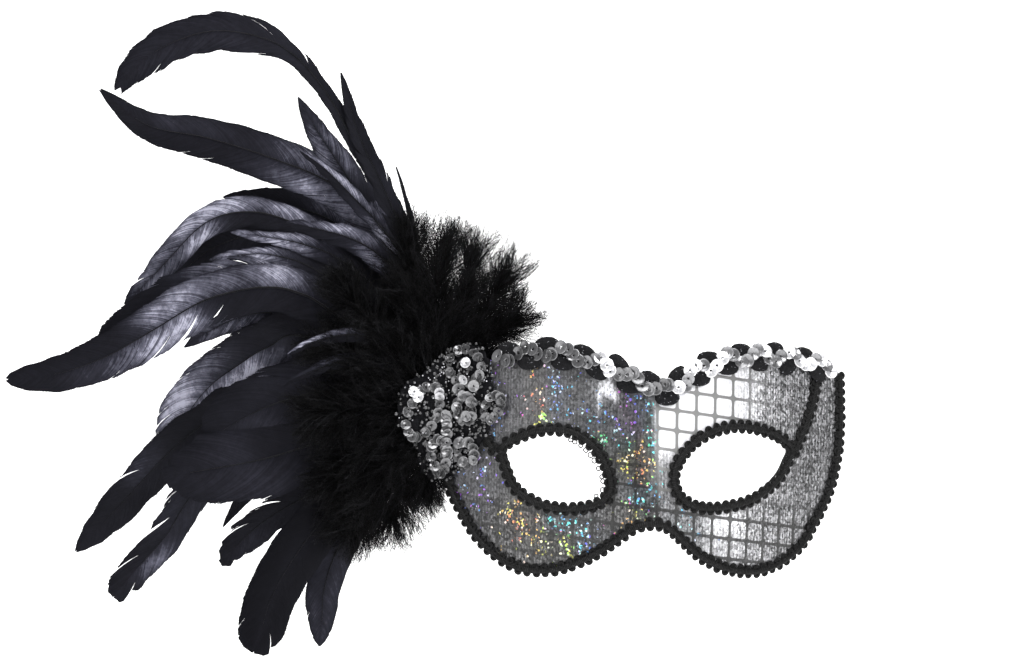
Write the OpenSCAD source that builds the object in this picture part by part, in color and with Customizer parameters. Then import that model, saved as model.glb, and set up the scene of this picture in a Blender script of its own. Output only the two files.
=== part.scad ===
// Half-face masquerade mask with a side plume of coque and marabou feathers.
// Frame: +X the viewer's right, +Y away from the viewer, +Z up. Origin on the inner face
// of the nose bridge, at the height of the eye centres. All sizes in mm.

/* [Mask] */
// radius of the wrap round the face
wrap_r = 95; // [85:1:120]
// half width inside which the face is curved; the temples run straight from there
flat_from = 62; // [56:1:66]
// how fast brow and cheeks lean back
dome = 0.0018; // [0.0010:0.0002:0.0026]
// height of the nose ridge
nose_h = 7; // [4:0.5:9]
// half width of the nose ridge
nose_w = 13; // [11:0.5:15]
// wall of the moulded shell
shell_t = 1.2; // [1.0:0.1:1.6]
// thickness of the foil cloth
cloth_t = 0.3; // [0.2:0.05:0.4]
// hole of the strap loops inside the temples
strap_hole_d = 2.6; // [2.2:0.2:3.0]
// length of a strap loop
loop_len = 5; // [4:0.5:7]

/* [Gimp braid] */
// full width over the scallops
braid_w = 5.5; // [4.5:0.1:6.0]
// width between two scallops
braid_waist = 4.1; // [3.4:0.1:4.4]
// height over the cloth
braid_h = 1.5; // [1.0:0.1:1.9]
// pitch of the scallops
scallop = 3.8; // [3.4:0.1:5.0]

/* [Top trim] */
// length of one wave of the trim
wave_l = 14.5; // [12:0.5:16]
// how far into a wave the trim starts
wave_start = 4.7; // [4:0.1:6]
// half height of the wave of the sequin chain
wave_a = 2.1; // [1.5:0.1:2.4]
// length of a textile lobe
lobe_l = 9; // [7:0.5:9.5]
// height of a textile lobe
lobe_w = 5; // [4:0.5:5.5]

/* [Sequins] */
// diameter of a cup sequin
sequin_d = 5.4; // [4.5:0.1:6]
// thickness of a cup sequin
sequin_t = 0.3; // [0.2:0.05:0.4]
// hole in a sequin
sequin_hole = 0.9; // [0.7:0.1:1.1]
// pitch along the top trim
trim_pitch = 2.9; // [2.7:0.1:4]
// lean of a sequin over the next one on the top trim
trim_lean = 16; // [14:1:24]
// pitch round a loop of the motif
motif_pitch = 4.4; // [4.3:0.1:4.6]
// lean of a sequin over the next one in the motif
motif_lean = 28; // [28:1:34]

/* [Feathers] */
// thickness of a quill at its root
quill_t = 1.6; // [1.2:0.1:1.8]
// how far the plume sits behind the temple
plume_back = 6; // [6:1:12]
// thickness of a marabou plume
marabou_t = 9; // [7:0.5:9]

/* [Hidden] */
face_h = shell_t + 0.05;
braid_base = shell_t + cloth_t + 0.12;
motif_base = braid_base + braid_h + 0.1;
eye_cx = 37.5;
eye_cz = -1;

// ---- inner surface of the mask: y over (x, z), and the forward normal ----
function wrap(x) = let (a = abs(x)) a < flat_from ? a * a / (2 * wrap_r)
    : flat_from * flat_from / (2 * wrap_r) + (a - flat_from) * flat_from / wrap_r;
function nose_s(z) = 1 / (1 + exp((z + 2) / 8));
function sy(x, z) = wrap(x) + dome * z * z
    - nose_h * (exp(-pow(x / nose_w, 2)) * nose_s(z) - nose_s(0));
// the sequin motif bridges from the temple straight out past the edge of the mask
motif_bend = -80;
function my(x, z) = sy(max(x, motif_bend), z);
function unit(v) = v / norm(v);
function sn(x, z) = unit([(sy(x + 0.1, z) - sy(x - 0.1, z)) / 0.2, -1,
    (sy(x, z + 0.1) - sy(x, z - 0.1)) / 0.2]);
function mn(x, z) = unit([(my(x + 3, z) - my(x - 3, z)) / 6, -1,
    (my(x, z + 3) - my(x, z - 3)) / 6]);
function on(p, h) = [p[0], sy(p[0], p[1]), p[1]] + h * sn(p[0], p[1]);
function on_m(p, h) = [p[0], my(p[0], p[1]), p[1]] + h * mn(p[0], p[1]);

// ---- curves ----
function cr(a, b, c, d, t) = 0.5 * (2 * b + (c - a) * t + (2 * a - 5 * b + 4 * c - d) * t * t
    + (3 * b - a - 3 * c + d) * t * t * t);
function smooth(p, n, closed = false) = let (m = len(p))
    [for (i = [0 : (closed ? m : m - 1) - 1], k = [0 : n - 1])
        closed ? cr(p[(i + m - 1) % m], p[i], p[(i + 1) % m], p[(i + 2) % m], k / n)
            : cr(p[max(i - 1, 0)], p[i], p[i + 1], p[min(i + 2, m - 1)], k / n),
     closed ? p[0] : p[m - 1]];
function cum(p) = [for (i = 0, s = 0; i < len(p);
    i = i + 1, s = i < len(p) ? s + norm(p[i] - p[i - 1]) : s) s];
function even(p, n) = let (c = cum(p), l = c[len(c) - 1], q = len(p[0]) - 1,
    tab = [for (a = [0 : q]) [for (i = [0 : len(p) - 1]) [c[i], p[i][a]]]])
    [for (k = [0 : n]) [for (a = [0 : q]) lookup(l * k / n, tab[a])]];
function len_of(p) = let (c = cum(p)) c[len(c) - 1];
// moves a path sideways: d > 0 is to its right
function shifted(p, d, closed = false) = let (m = len(p) - 1)
    [for (i = [0 : m]) let (a = closed && i == 0 ? p[m - 1] : p[max(i - 1, 0)],
        b = closed && i == m ? p[1] : p[min(i + 1, m)], t = unit(b - a))
        p[i] + d * [t[1], -t[0]]];
function flip(p) = [for (v = p) [-v[0], v[1]]];
function turned(p) = [for (i = [len(p) - 1 : -1 : 0]) p[i]];

// ---- outlines, (x, z), each half from the top centre round to the bottom centre ----
top_c = [0, 34.4];
low_c = [0, -24.8];
right_top = [top_c, [6, 32.3], [12.6, 34], [19, 39], [26, 42.3], [35, 44.8], [45, 46.2],
    [55, 46], [66, 44.8], [78, 42.2], [86.2, 40]];
right_side = [[88.9, 37.5], [89.1, 30], [89, 20], [88.2, 8], [86.5, -2], [83.9, -11],
    [79.9, -19.5], [75.7, -26.5], [71.6, -33.5], [65.5, -39], [57, -43.8], [48, -46], [39, -45.4],
    [30, -42.8], [21.5, -38.2], [14, -32], [8.5, -27.3], [4, -25]];
left_top = [top_c, [-4, 36.2], [-10.5, 39.4], [-19, 43], [-30, 46.6], [-40, 47.8],
    [-50, 47], [-60, 45], [-72, 43], [-82, 41.5]];
left_side = [[-85, 38.5], [-85.8, 30], [-85.5, 18], [-84.5, 7], [-82.5, -3], [-79.5, -12],
    [-75.5, -20.5], [-71.5, -27.5], [-66.5, -33.8], [-60, -39.6], [-52, -43.8],
    [-43.5, -45], [-34, -43.6], [-25, -40], [-16, -35], [-10, -30.5], [-4, -26]];
right_half = smooth(concat(right_top, right_side, [low_c]), 6);
left_half = smooth(concat(left_top, left_side, [low_c]), 6);
// openings inside the braid, clockwise from the outer corner on the right-hand eye
eye_r = [[61, 6.2], [59.6, 2], [56, -3.8], [49.8, -9], [42.4, -12.6], [32.7, -14.6], [23.8,
    -14.7], [16.8, -12.2], [13.2, -6.5], [15.8, 1.5], [21.6, 7.7], [29.6, 12.2], [38.6,
    13.8], [46.7, 12.8], [54.2, 10.5]];
eye_l = [[-55.9, 6.2], [-52, 8.8], [-45.2, 11.8], [-37.9, 12.8], [-29.6, 11.1], [-22.4, 5],
    [-18, -3.5], [-17.3, -9.6], [-21.3, -13.2], [-29.6, -14.9], [-37.8, -14.5], [-45.6,
    -11.8], [-51.6, -6.8], [-54.7, 1]];
eye_r_path = smooth(eye_r, 6, true);
eye_l_path = smooth(eye_l, 6, true);

// ---- a curved sheet in two halves, each a ring between the eye and the outline ----
seg_out = 50;
seg_mid = 9;
rings = 5;
n_ring = seg_out + seg_mid;
function half_rim(half) = concat(even(half, seg_out),
    [for (k = [1 : seg_mid - 1]) low_c + (top_c - low_c) * k / seg_mid]);
function polar(path, c) = [for (w = [-360, 0, 360], v = path)
    [atan2(v[1] - c[1], v[0] - c[0]) + w, norm(v - c)]];
function ring_points(half, hole, c, grow, h) = let (rim = half_rim(half), tab = polar(hole, c))
    [for (j = [0 : rings], v = rim) let (a = atan2(v[1] - c[1], v[0] - c[0]),
        e = c + (lookup(a, tab) + grow) * [cos(a), sin(a)], t = j / rings)
        on(e * (1 - t) + v * t, h)];
module sheet(h0, h1, grow) {
    m = n_ring;
    s = m * (rings + 1);
    pts = concat(ring_points(right_half, eye_r_path, [eye_cx, eye_cz], grow, h1),
        ring_points(right_half, eye_r_path, [eye_cx, eye_cz], grow, h0),
        ring_points(left_half, eye_l_path, [-eye_cx, eye_cz], grow, h1),
        ring_points(left_half, eye_l_path, [-eye_cx, eye_cz], grow, h0));
    // the left half borrows the right half's points on the centre line
    function at(side, layer, j, i) = let (k = i % m, mid = k == 0 || k >= seg_out)
        (side == 1 && j == rings && mid ? 0 : 2 * s * side) + s * layer + m * j + k;
    function quad(a, b, c, d, rev) = rev ? [[c, b, a], [d, c, a]] : [[a, b, c], [a, c, d]];
    faces = [for (side = [0, 1], i = [0 : m - 1]) each concat(
        [for (j = [0 : rings - 1], lay = [0, 1]) each quad(at(side, lay, j, i),
            at(side, lay, j + 1, i), at(side, lay, j + 1, i + 1), at(side, lay, j, i + 1),
            (side + lay) % 2 == 1)],
        quad(at(side, 0, 0, i), at(side, 0, 0, i + 1), at(side, 1, 0, i + 1),
            at(side, 1, 0, i), side == 1),
        i >= seg_out ? [] : quad(at(side, 1, rings, i), at(side, 1, rings, i + 1),
            at(side, 0, rings, i + 1), at(side, 0, rings, i), side == 1))];
    polyhedron(pts, faces);
}

// ---- bands and solids swept along a path ----
// rows of equal length joined into a closed skin; shut = the last row meets the first
module skin(rows, shut) {
    n = len(rows[0]);
    m = len(rows);
    pts = [for (r = rows) each r];
    faces = concat([for (i = [0 : (shut ? m : m - 1) - 1], k = [0 : n - 1])
        let (a = i * n + k, b = i * n + (k + 1) % n, c = ((i + 1) % m) * n + (k + 1) % n,
            d = ((i + 1) % m) * n + k) each [[a, b, c], [a, c, d]]],
        shut ? [] : [[for (k = [n - 1 : -1 : 0]) k], [for (k = [0 : n - 1]) (m - 1) * n + k]]);
    polyhedron(pts, faces);
}
module braid(path, closed) {
    ns = round(len_of([for (p = path) on(p, braid_base)]) / scallop);
    c = even(path, 4 * ns);
    n = len(c) - 1;
    rows = [for (i = [0 : closed ? n - 1 : n]) let (
        a = closed ? c[(i + n - 1) % n] : c[max(i - 1, 0)], b = closed ? c[(i + 1) % n]
            : c[min(i + 1, n)], t = unit(on(b, 0) - on(a, 0)), u = sn(c[i][0], c[i][1]),
        s = unit(cross(t, u)), w = [braid_waist, (braid_w + braid_waist) / 1.96, braid_w,
            (braid_w + braid_waist) / 1.96][i % 4] / 2, o = on(c[i], braid_base))
        [o - w * s, o - 0.72 * w * s + braid_h * u, o + 0.72 * w * s + braid_h * u, o + w * s]];
    skin(rows, closed);
}
// a vane: pts in space from tip to root, w the widths and t the thicknesses along it
module vane(pts, w, t, n = 14, ribs = 4) {
    c = even(smooth(pts, 5), n);
    rows = [for (i = [0 : n]) let (d = unit(c[min(i + 1, n)] - c[max(i - 1, 0)]),
        s = unit(cross(d, [0.15, -1, 0.1])), u = cross(s, d),
        ww = lookup(i / n, w) / 2, tt = lookup(i / n, t) / 2)
        [for (k = [0 : ribs - 1]) let (a = 360 * k / ribs)
            c[i] + ww * cos(a) * s - tt * sin(a) * u]];
    skin(rows, false);
}
// how wide a feather is along its length, tip first, as a share of its full width
leaf = [[0, 0.15], [0.1, 0.75], [0.35, 1], [0.7, 0.9], [0.9, 0.4]];
club = [[0, 0.3], [0.08, 0.85], [0.22, 1], [0.36, 0.5], [0.7, 0.38], [0.9, 0.3]];
module coque(pts, w, shape = leaf) {
    wide = [for (p = shape) [p[0], p[1] * w]];
    thick = [[0, 0.3], [0.5, 0.8], [0.9, quill_t - 0.1], [1, quill_t]];
    vane([for (p = pts) p + [0, plume_back, 0]], concat(wide, [[1, quill_t]]), thick);
}
plume_root = [-88, 38 + plume_back, 26];
module marabou(at, w) {
    tip = at + [0, plume_back, 0];
    d = tip - plume_root;
    vane([tip, plume_root + 0.55 * d + [0, 0, 2], plume_root + 0.1 * d],
        [[0, 0.25 * w], [0.15, 0.8 * w], [0.45, w], [0.8, 0.6 * w], [1, 2]],
        [[0, 1.5], [0.3, marabou_t], [0.7, 0.8 * marabou_t], [1, 1.5]], 9, 8);
}

// ---- placing flat trims on the surface ----
module placed(o, u, t) {
    s = unit(cross(u, t));
    f = cross(s, u);
    multmatrix([[f[0], s[0], u[0], o[0]], [f[1], s[1], u[1], o[1]],
        [f[2], s[2], u[2], o[2]], [0, 0, 0, 1]]) children();
}
module sequin(lean) {
    rotate([0, -lean, 0]) difference() {
        cylinder(d = sequin_d, h = sequin_t, $fn = 48);
        translate([0, 0, -1]) cylinder(d = sequin_hole, h = 2, $fn = 24);
    }
}

// ---- the top trim ----
trim_path = smooth(concat(turned(left_top), [for (i = [1 : len(right_top) - 1]) right_top[i]]),
    6);
trim_start = 22;
trim_line = let (l = len_of(trim_path), n = round(l), p = even(trim_path, n))
    [for (i = [trim_start : n]) p[i]];
trim_l = len_of(trim_line);
function trim_at(d) = let (n = len(trim_line) - 1, k = max(0, min(n - 0.001, d * n / trim_l)),
    i = floor(k)) trim_line[i] + (k - i) * (trim_line[i + 1] - trim_line[i]);
function trim_side(d) = let (t = unit(trim_at(d + 1.5) - trim_at(d - 1.5))) [-t[1], t[0]];
function chain_at(d) = trim_at(d)
    + wave_a * sin(360 * (d + wave_start) / wave_l) * trim_side(d);

// ---- the sequin motif on the left temple ----
// loops: centre x, centre z, half width, half height, turn, rise over the net
loops = [[-72, 41.5, 6.6, 8, -8, 1.5], [-92.5, 22.5, 6.4, 10.5, -25, 1.5],
    [-87, 4, 4.6, 7.6, 12, 4.5], [-70.5, 5.5, 4.4, 5.6, 0, 1.5],
    [-60.6, 24.5, 4.4, 5.8, -12, 1.5], [-71, 24, 3.8, 5.2, 0, 4.5]];
function loop_at(l, a) = [l[0] + l[2] * cos(a) * cos(l[4]) - l[3] * sin(a) * sin(l[4]),
    l[1] + l[2] * cos(a) * sin(l[4]) + l[3] * sin(a) * cos(l[4])];
net_c = [-80, 25];
net_rim = smooth([[-59, 25], [-61.5, 34], [-62, 43], [-67, 50], [-76, 50.5], [-84, 46],
    [-92, 39], [-101, 33], [-103, 18], [-96, 10], [-93, -3], [-85, -6], [-76, -3], [-69, 5],
    [-63.5, 14]], 2, true);

// ---- the parts ----
module mask_shell() color([0.16, 0.16, 0.17]) sheet(0, shell_t, 0.8);
// a short tube on a foot, glued inside a temple; its hole runs along Z
module strap_loop(x) {
    r = strap_hole_d / 2 + 1.2;
    p = on([x, 0], -0.3);
    translate(p) rotate([0, 0, atan2(sn(x, 0)[1], sn(x, 0)[0]) + 90]) difference() {
        union() {
            translate([0, r, -loop_len / 2]) cylinder(r = r, h = loop_len, $fn = 64);
            translate([-r - 2, 0, -loop_len / 2]) cube([2 * r + 4, 1.1, loop_len]);
        }
        translate([0, r, -loop_len]) cylinder(d = strap_hole_d, h = 2 * loop_len, $fn = 64);
    }
}
module strap_loop_right() color([0.10, 0.10, 0.11]) strap_loop(83.5);
module strap_loop_left() color([0.10, 0.10, 0.11]) strap_loop(-77.5);
module fabric_cover() color([0.62, 0.63, 0.66]) sheet(face_h, shell_t + 0.05 + cloth_t, 0.9);
module edge_braid() color([0.05, 0.05, 0.06]) braid(concat(
    shifted(smooth(concat(right_side, [low_c], turned(left_side)), 6), 1)), false);
module eye_braid_right() color([0.05, 0.05, 0.06])
    braid(shifted(eye_r_path, -braid_w / 2, true), true);
module eye_braid_left() color([0.05, 0.05, 0.06])
    braid(shifted(eye_l_path, -braid_w / 2, true), true);
module temple_braid_right() color([0.05, 0.05, 0.06])
    braid(smooth([[76.5, 34], [74.6, 26], [71.5, 18], [69.2, 12.5]], 6), false);
module temple_braid_left() color([0.05, 0.05, 0.06])
    braid(smooth([[-73, 35], [-71, 26], [-68, 18], [-65.2, 12.5]], 6), false);
module top_trim_cord() color([0.07, 0.07, 0.08]) {
    c = even([for (d = [1 : 1 : trim_l - 1]) chain_at(d)], 90);
    rows = [for (i = [0 : 90]) let (t = unit(on(c[min(i + 1, 90)], 0) - on(c[max(i - 1, 0)], 0)),
        u = sn(c[i][0], c[i][1]), s = unit(cross(t, u)), o = on(c[i], braid_base))
        [o - 1.1 * s, o + 0.7 * u, o + 1.1 * s]];
    skin(rows, false);
}
module top_trim_lobes() color([0.04, 0.04, 0.05])
    for (k = [1 : floor((trim_l + wave_start) / wave_l * 2) - 1])
        let (d = (k + 0.5) * wave_l / 2 - wave_start, aside = k % 2 == 0 ? -3.2 : 2.4,
        p = trim_at(d) + aside * trim_side(d), q = trim_at(d + 1) + aside * trim_side(d + 1))
        placed(on(p, braid_base + 0.9), sn(p[0], p[1]), unit(on(q, 0) - on(p, 0)))
            linear_extrude(1.6) polygon([for (a = [0 : 22.5 : 337.5])
                [lobe_l / 2 * cos(a), lobe_w / 2 * sin(a)]]);
module top_trim_sequins() color([0.72, 0.73, 0.76])
    for (d = [2 : trim_pitch : trim_l - 2]) let (p = chain_at(d), a = trim_at(d - 1),
        b = trim_at(d + 1)) placed(on(p, braid_base + 3.6), sn(p[0], p[1]),
            unit(on(b, 0) - on(a, 0))) sequin(trim_lean);
module motif_net() color([0.04, 0.04, 0.05]) {
    m = len(net_rim) - 1;
    k = 4;
    pts = concat([for (h = [motif_base + 0.4, motif_base], j = [1 : k], i = [0 : m - 1])
        on_m(net_c + (net_rim[i] - net_c) * j / k, h)],
        [on_m(net_c, motif_base + 0.4), on_m(net_c, motif_base)]);
    s = m * k;
    faces = concat(
        [for (lay = [0, 1], j = [0 : k - 2], i = [0 : m - 1]) let (a = lay * s + j * m + i,
            b = lay * s + j * m + (i + 1) % m) each lay == 0
            ? [[a, b, b + m], [a, b + m, a + m]] : [[b, a, b + m], [b + m, a, a + m]]],
        [for (i = [0 : m - 1]) each [[2 * s, (i + 1) % m, i],
            [2 * s + 1, s + i, s + (i + 1) % m]]],
        [for (i = [0 : m - 1]) let (a = s - m + i, b = s - m + (i + 1) % m)
            each [[a, b, b + s], [a, b + s, a + s]]]);
    polyhedron(pts, faces);
}
module motif_sequins() color([0.66, 0.67, 0.70])
    for (l = loops) let (n = round(3.1416 * (l[2] + l[3]) / motif_pitch))
        for (i = [0 : n - 1]) let (p = loop_at(l, 360 * i / n), q = loop_at(l, 360 * i / n + 8))
            placed(on_m(p, motif_base + l[5]), mn(l[0], l[1]), [q[0] - p[0], 0, q[1] - p[1]])
                sequin(motif_lean);
module motif_beads() color([0.80, 0.82, 0.88])
    for (l = loops, i = [0 : 3]) let (p = loop_at([l[0], l[1], l[2] * 0.34, l[3] * 0.34, l[4]],
        90 * i + 20)) translate(on_m(p, motif_base + 1.4)) sphere(r = 0.95, $fn = 24);
module plume_card() color([0.09, 0.09, 0.10])
    translate([-89, 43.4 + plume_back, 26]) rotate([90, 0, -8]) cylinder(d = 28, h = 1.6, $fn = 72);
module plume_felt() color([0.07, 0.07, 0.08])
    translate([-87, 61 + plume_back, 28]) rotate([90, 0, -8]) cylinder(d = 30, h = 1.5, $fn = 72);
module coque_crest_long() color([0.06, 0.06, 0.08]) coque([[-221.5, 22, 158], [-216, 24,
    167], [-202, 27, 178], [-181.5, 29, 184.8], [-160, 31, 182], [-146, 33, 174], [-136.5,
    35, 163.6], [-128.6, 37, 152], [-121, 39, 138], [-107, 43, 115], [-92, 47, 80], [-86,
    48, 38]], 16.5, club);
module coque_crest_second() color([0.06, 0.06, 0.08]) coque([[-231, 72, 163], [-210, 68,
    147], [-184, 64, 141.2], [-156, 61, 132.3], [-128, 57, 119.6], [-102, 55, 93], [-85, 54,
    40]], 21);
module coque_crest_under() color([0.09, 0.09, 0.12]) coque([[-177, 76, 116], [-165, 74,
    115], [-148, 70, 112], [-128, 64, 104], [-107, 58, 84], [-88, 55, 42]], 19);
module coque_spike_inner() color([0.06, 0.06, 0.08]) coque([[-127, 34, 168], [-119, 37,
    141], [-108, 41, 118], [-90, 46, 75], [-83, 47, 36]], 9);
module coque_spike_outer() color([0.10, 0.10, 0.13]) coque([[-144.6, 60, 159], [-136.3, 58,
    144], [-125.2, 57, 127], [-96, 55, 80], [-84, 55, 36]], 16);
module coque_arch_upper() color([0.10, 0.10, 0.14]) coque([[-220, 66, 68.5], [-212, 65,
    76.2], [-199, 62, 90.2], [-189.2, 60, 100.6], [-179.8, 58, 106.5], [-168, 56, 108.8],
    [-155, 54, 107], [-138, 52, 99], [-118, 51, 80], [-85, 50, 34]], 14);
module coque_arch_lower() color([0.06, 0.06, 0.08]) coque([[-206, 84, 71], [-196, 80, 82],
    [-184, 74, 92], [-170, 68, 98], [-156, 63, 100], [-140, 60, 96], [-118, 56, 78], [-86,
    53, 32]], 18);
module coque_sweep_long() color([0.10, 0.10, 0.13]) coque([[-270, 42, 36.4], [-249, 42,
    38.6], [-228, 43, 45.8], [-208, 44, 57], [-188, 45, 69], [-173, 46, 74], [-159, 46, 76],
    [-146, 46, 74], [-130, 46, 65], [-86, 46, 28]], 22.5);
module coque_sweep_gloss() color([0.13, 0.13, 0.17]) coque([[-232, 58, 53], [-217, 56, 63],
    [-201, 54, 72], [-183, 52, 79], [-160, 50, 82], [-138, 48, 75], [-110, 47, 55], [-86,
    47, 30]], 16);
module coque_sweep_under() color([0.09, 0.09, 0.12]) coque([[-194, 74, 50], [-183, 70, 57],
    [-170, 66, 63], [-155, 62, 65], [-134, 58, 60], [-86, 54, 27]], 14);
module coque_drop_broad() color([0.12, 0.12, 0.15]) coque([[-200, 78, 3.5], [-195.8, 76,
    14], [-190, 72, 24.5], [-181.8, 68, 34], [-171, 62, 42], [-158, 58, 50], [-140, 54, 54],
    [-86, 50, 25]], 25);
module coque_drop_long() color([0.06, 0.06, 0.08]) coque([[-242, 92, -40.5], [-229, 88,
    -27], [-218.5, 84, -15.5], [-209, 80, -4.8], [-198, 75, 6.4], [-183, 70, 18], [-158, 62,
    30], [-86, 52, 23]], 18.5);
module coque_split_tip() color([0.06, 0.06, 0.08]) coque([[-224.6, 62, -58.5], [-212.8, 61,
    -44.5], [-201.4, 59, -31], [-192.6, 57, -16.5], [-179, 55, -2], [-152, 52, 13], [-86,
    50, 21]], 15);
module coque_haze_upper() color([0.06, 0.06, 0.08]) coque([[-186, 48, 8], [-173, 47, 17],
    [-157, 46, 25], [-135, 46, 31], [-110, 46, 32], [-88, 46, 26]], 32);
module coque_haze_broad() color([0.06, 0.06, 0.08]) coque([[-203, 42, -5.5], [-184, 43,
    -2.4], [-160, 44, 2], [-136, 45, 9], [-110, 46, 16], [-88, 46, 22]], 33);
module coque_low_slim() color([0.06, 0.06, 0.08]) coque([[-177.6, 70, -45.5], [-167.4, 67,
    -32.8], [-155.3, 63, -23], [-138, 59, -13], [-112, 56, 2], [-86, 54, 19]], 16);
module coque_low_blunt() color([0.04, 0.04, 0.05]) coque([[-164.5, 33, -80.5], [-160.8, 35,
    -70], [-156.6, 37, -57], [-147.5, 39, -41], [-131.5, 42, -20], [-109, 45, 2], [-87, 47,
    18]], 22.5);
module coque_low_grey() color([0.14, 0.14, 0.16]) coque([[-135.3, 58, -80], [-134.3, 57,
    -68], [-133.3, 56, -54], [-126.3, 55, -35], [-108, 54, -6], [-86, 53, 17]], 16);
module coque_low_short() color([0.06, 0.06, 0.08]) coque([[-177, 80, -29], [-168, 76, -16],
    [-154, 70, -3], [-126, 61, 11], [-86, 55, 22]], 9);
module coque_gloss_crest() color([0.16, 0.16, 0.20]) coque([[-144, 52, 135], [-133, 51,
    127], [-121, 50, 115], [-109, 49, 102], [-98, 48, 84], [-86, 48, 42]], 8);
module coque_gloss_upper() color([0.14, 0.14, 0.18]) coque([[-150, 46, 104], [-136, 46,
    101], [-122, 46, 97], [-109, 46, 89], [-97, 47, 74], [-84, 48, 36]], 12);
module coque_gloss_mid() color([0.13, 0.13, 0.17]) coque([[-174, 54, 100], [-160, 52, 98],
    [-144, 50, 95], [-127, 49, 88], [-107, 48, 70], [-85, 48, 32]], 9);
module coque_gloss_under() color([0.13, 0.13, 0.17]) coque([[-183, 55, 88], [-170, 53, 90],
    [-156, 51, 90], [-138, 50, 84], [-114, 48, 66], [-86, 48, 32]], 9);
module coque_gloss_inner() color([0.11, 0.11, 0.14]) coque([[-150, 32, 47], [-140, 31, 52],
    [-129, 30, 55], [-118, 31, 55], [-104, 35, 48], [-87, 44, 30]], 6);
module coque_gloss_lower() color([0.06, 0.06, 0.08]) coque([[-150, 33, 35], [-139, 32, 40],
    [-127, 31, 44], [-112, 32, 45], [-99, 36, 39], [-87, 44, 27]], 6);
module hackle_wisp() color([0.06, 0.06, 0.08]) coque([[-103, 40, 128], [-99, 41, 115], [-93,
    43, 90], [-84, 46, 38]], 2.4);
module marabou_01() color([0.05, 0.05, 0.05]) marabou([-47, 36, 68], 32);
module marabou_02() color([0.05, 0.05, 0.05]) marabou([-49.5, 40, 89], 34);
module marabou_03() color([0.05, 0.05, 0.05]) marabou([-66.5, 36, 100], 34);
module marabou_04() color([0.05, 0.05, 0.05]) marabou([-84, 32, 104.5], 38);
module marabou_05() color([0.05, 0.05, 0.05]) marabou([-101, 36, 105], 36);
module marabou_06() color([0.05, 0.05, 0.05]) marabou([-134, 32, 84], 30);
module marabou_07() color([0.05, 0.05, 0.05]) marabou([-137, 36, 54], 36);
module marabou_08() color([0.05, 0.05, 0.05]) marabou([-142, 32, 20], 38);
module marabou_09() color([0.05, 0.05, 0.05]) marabou([-134, 36, -12], 38);
module marabou_10() color([0.05, 0.05, 0.05]) marabou([-128, 32, -37], 36);
module marabou_11() color([0.05, 0.05, 0.05]) marabou([-109, 36, -31], 34);
module marabou_12() color([0.05, 0.05, 0.05]) marabou([-91, 32, -14], 30);

mask_shell();
fabric_cover();
edge_braid();
eye_braid_right();
eye_braid_left();
temple_braid_right();
temple_braid_left();
top_trim_cord();
top_trim_lobes();
top_trim_sequins();
motif_net();
motif_sequins();
motif_beads();
strap_loop_right();
strap_loop_left();
plume_card();
plume_felt();
coque_crest_long();
coque_crest_second();
coque_crest_under();
coque_spike_inner();
coque_spike_outer();
coque_arch_upper();
coque_arch_lower();
coque_sweep_long();
coque_sweep_gloss();
coque_sweep_under();
coque_drop_broad();
coque_drop_long();
coque_split_tip();
coque_haze_upper();
coque_haze_broad();
coque_low_slim();
coque_low_blunt();
coque_low_grey();
coque_low_short();
coque_gloss_crest();
coque_gloss_upper();
coque_gloss_mid();
coque_gloss_under();
coque_gloss_inner();
coque_gloss_lower();
hackle_wisp();
marabou_01();
marabou_02();
marabou_03();
marabou_04();
marabou_05();
marabou_06();
marabou_07();
marabou_08();
marabou_09();
marabou_10();
marabou_11();
marabou_12();
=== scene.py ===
"""Looks of the masquerade mask: foil cloth, gimp braid, sequins, coque and marabou feathers.

Lengths in the tables are millimetres in the part's own frame; meshes are written in metres.
"""

import math

import bmesh
import bpy
import mathutils
import numpy as np
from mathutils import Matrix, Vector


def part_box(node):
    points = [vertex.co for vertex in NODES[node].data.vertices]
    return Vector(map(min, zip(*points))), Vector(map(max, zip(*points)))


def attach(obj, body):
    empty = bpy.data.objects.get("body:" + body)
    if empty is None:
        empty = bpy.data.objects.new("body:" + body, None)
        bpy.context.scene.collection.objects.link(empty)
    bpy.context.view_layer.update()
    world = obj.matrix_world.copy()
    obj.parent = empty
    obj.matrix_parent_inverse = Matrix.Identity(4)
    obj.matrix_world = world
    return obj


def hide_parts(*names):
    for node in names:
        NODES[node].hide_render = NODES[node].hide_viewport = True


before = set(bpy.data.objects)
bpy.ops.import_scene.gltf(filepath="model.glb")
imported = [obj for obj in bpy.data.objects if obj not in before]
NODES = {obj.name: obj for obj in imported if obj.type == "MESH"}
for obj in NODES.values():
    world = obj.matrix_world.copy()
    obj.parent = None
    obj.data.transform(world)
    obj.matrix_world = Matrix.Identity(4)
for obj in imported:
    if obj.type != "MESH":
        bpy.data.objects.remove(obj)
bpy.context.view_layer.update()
MM = 0.001
TAU = 2 * math.pi


# ---------------------------------------------------------------- the mask's surface
# the shell wraps the head at WRAP_R as far as FLAT_FROM either side and runs straight from there
WRAP_R, FLAT_FROM, DOME, NOSE_H, NOSE_W = 95.0, 62.0, 0.0018, 7.0, 13.0
SHELL_T, CLOTH_T, BRAID_W, BRAID_H, SCALLOP = 1.2, 0.3, 5.5, 1.5, 3.8
BRAID_BASE = SHELL_T + CLOTH_T + 0.12
MOTIF_BASE = BRAID_BASE + BRAID_H + 0.1
# the flower's base stops wrapping here and runs on as wide as the flower
MOTIF_BEND = -80.0


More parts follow.
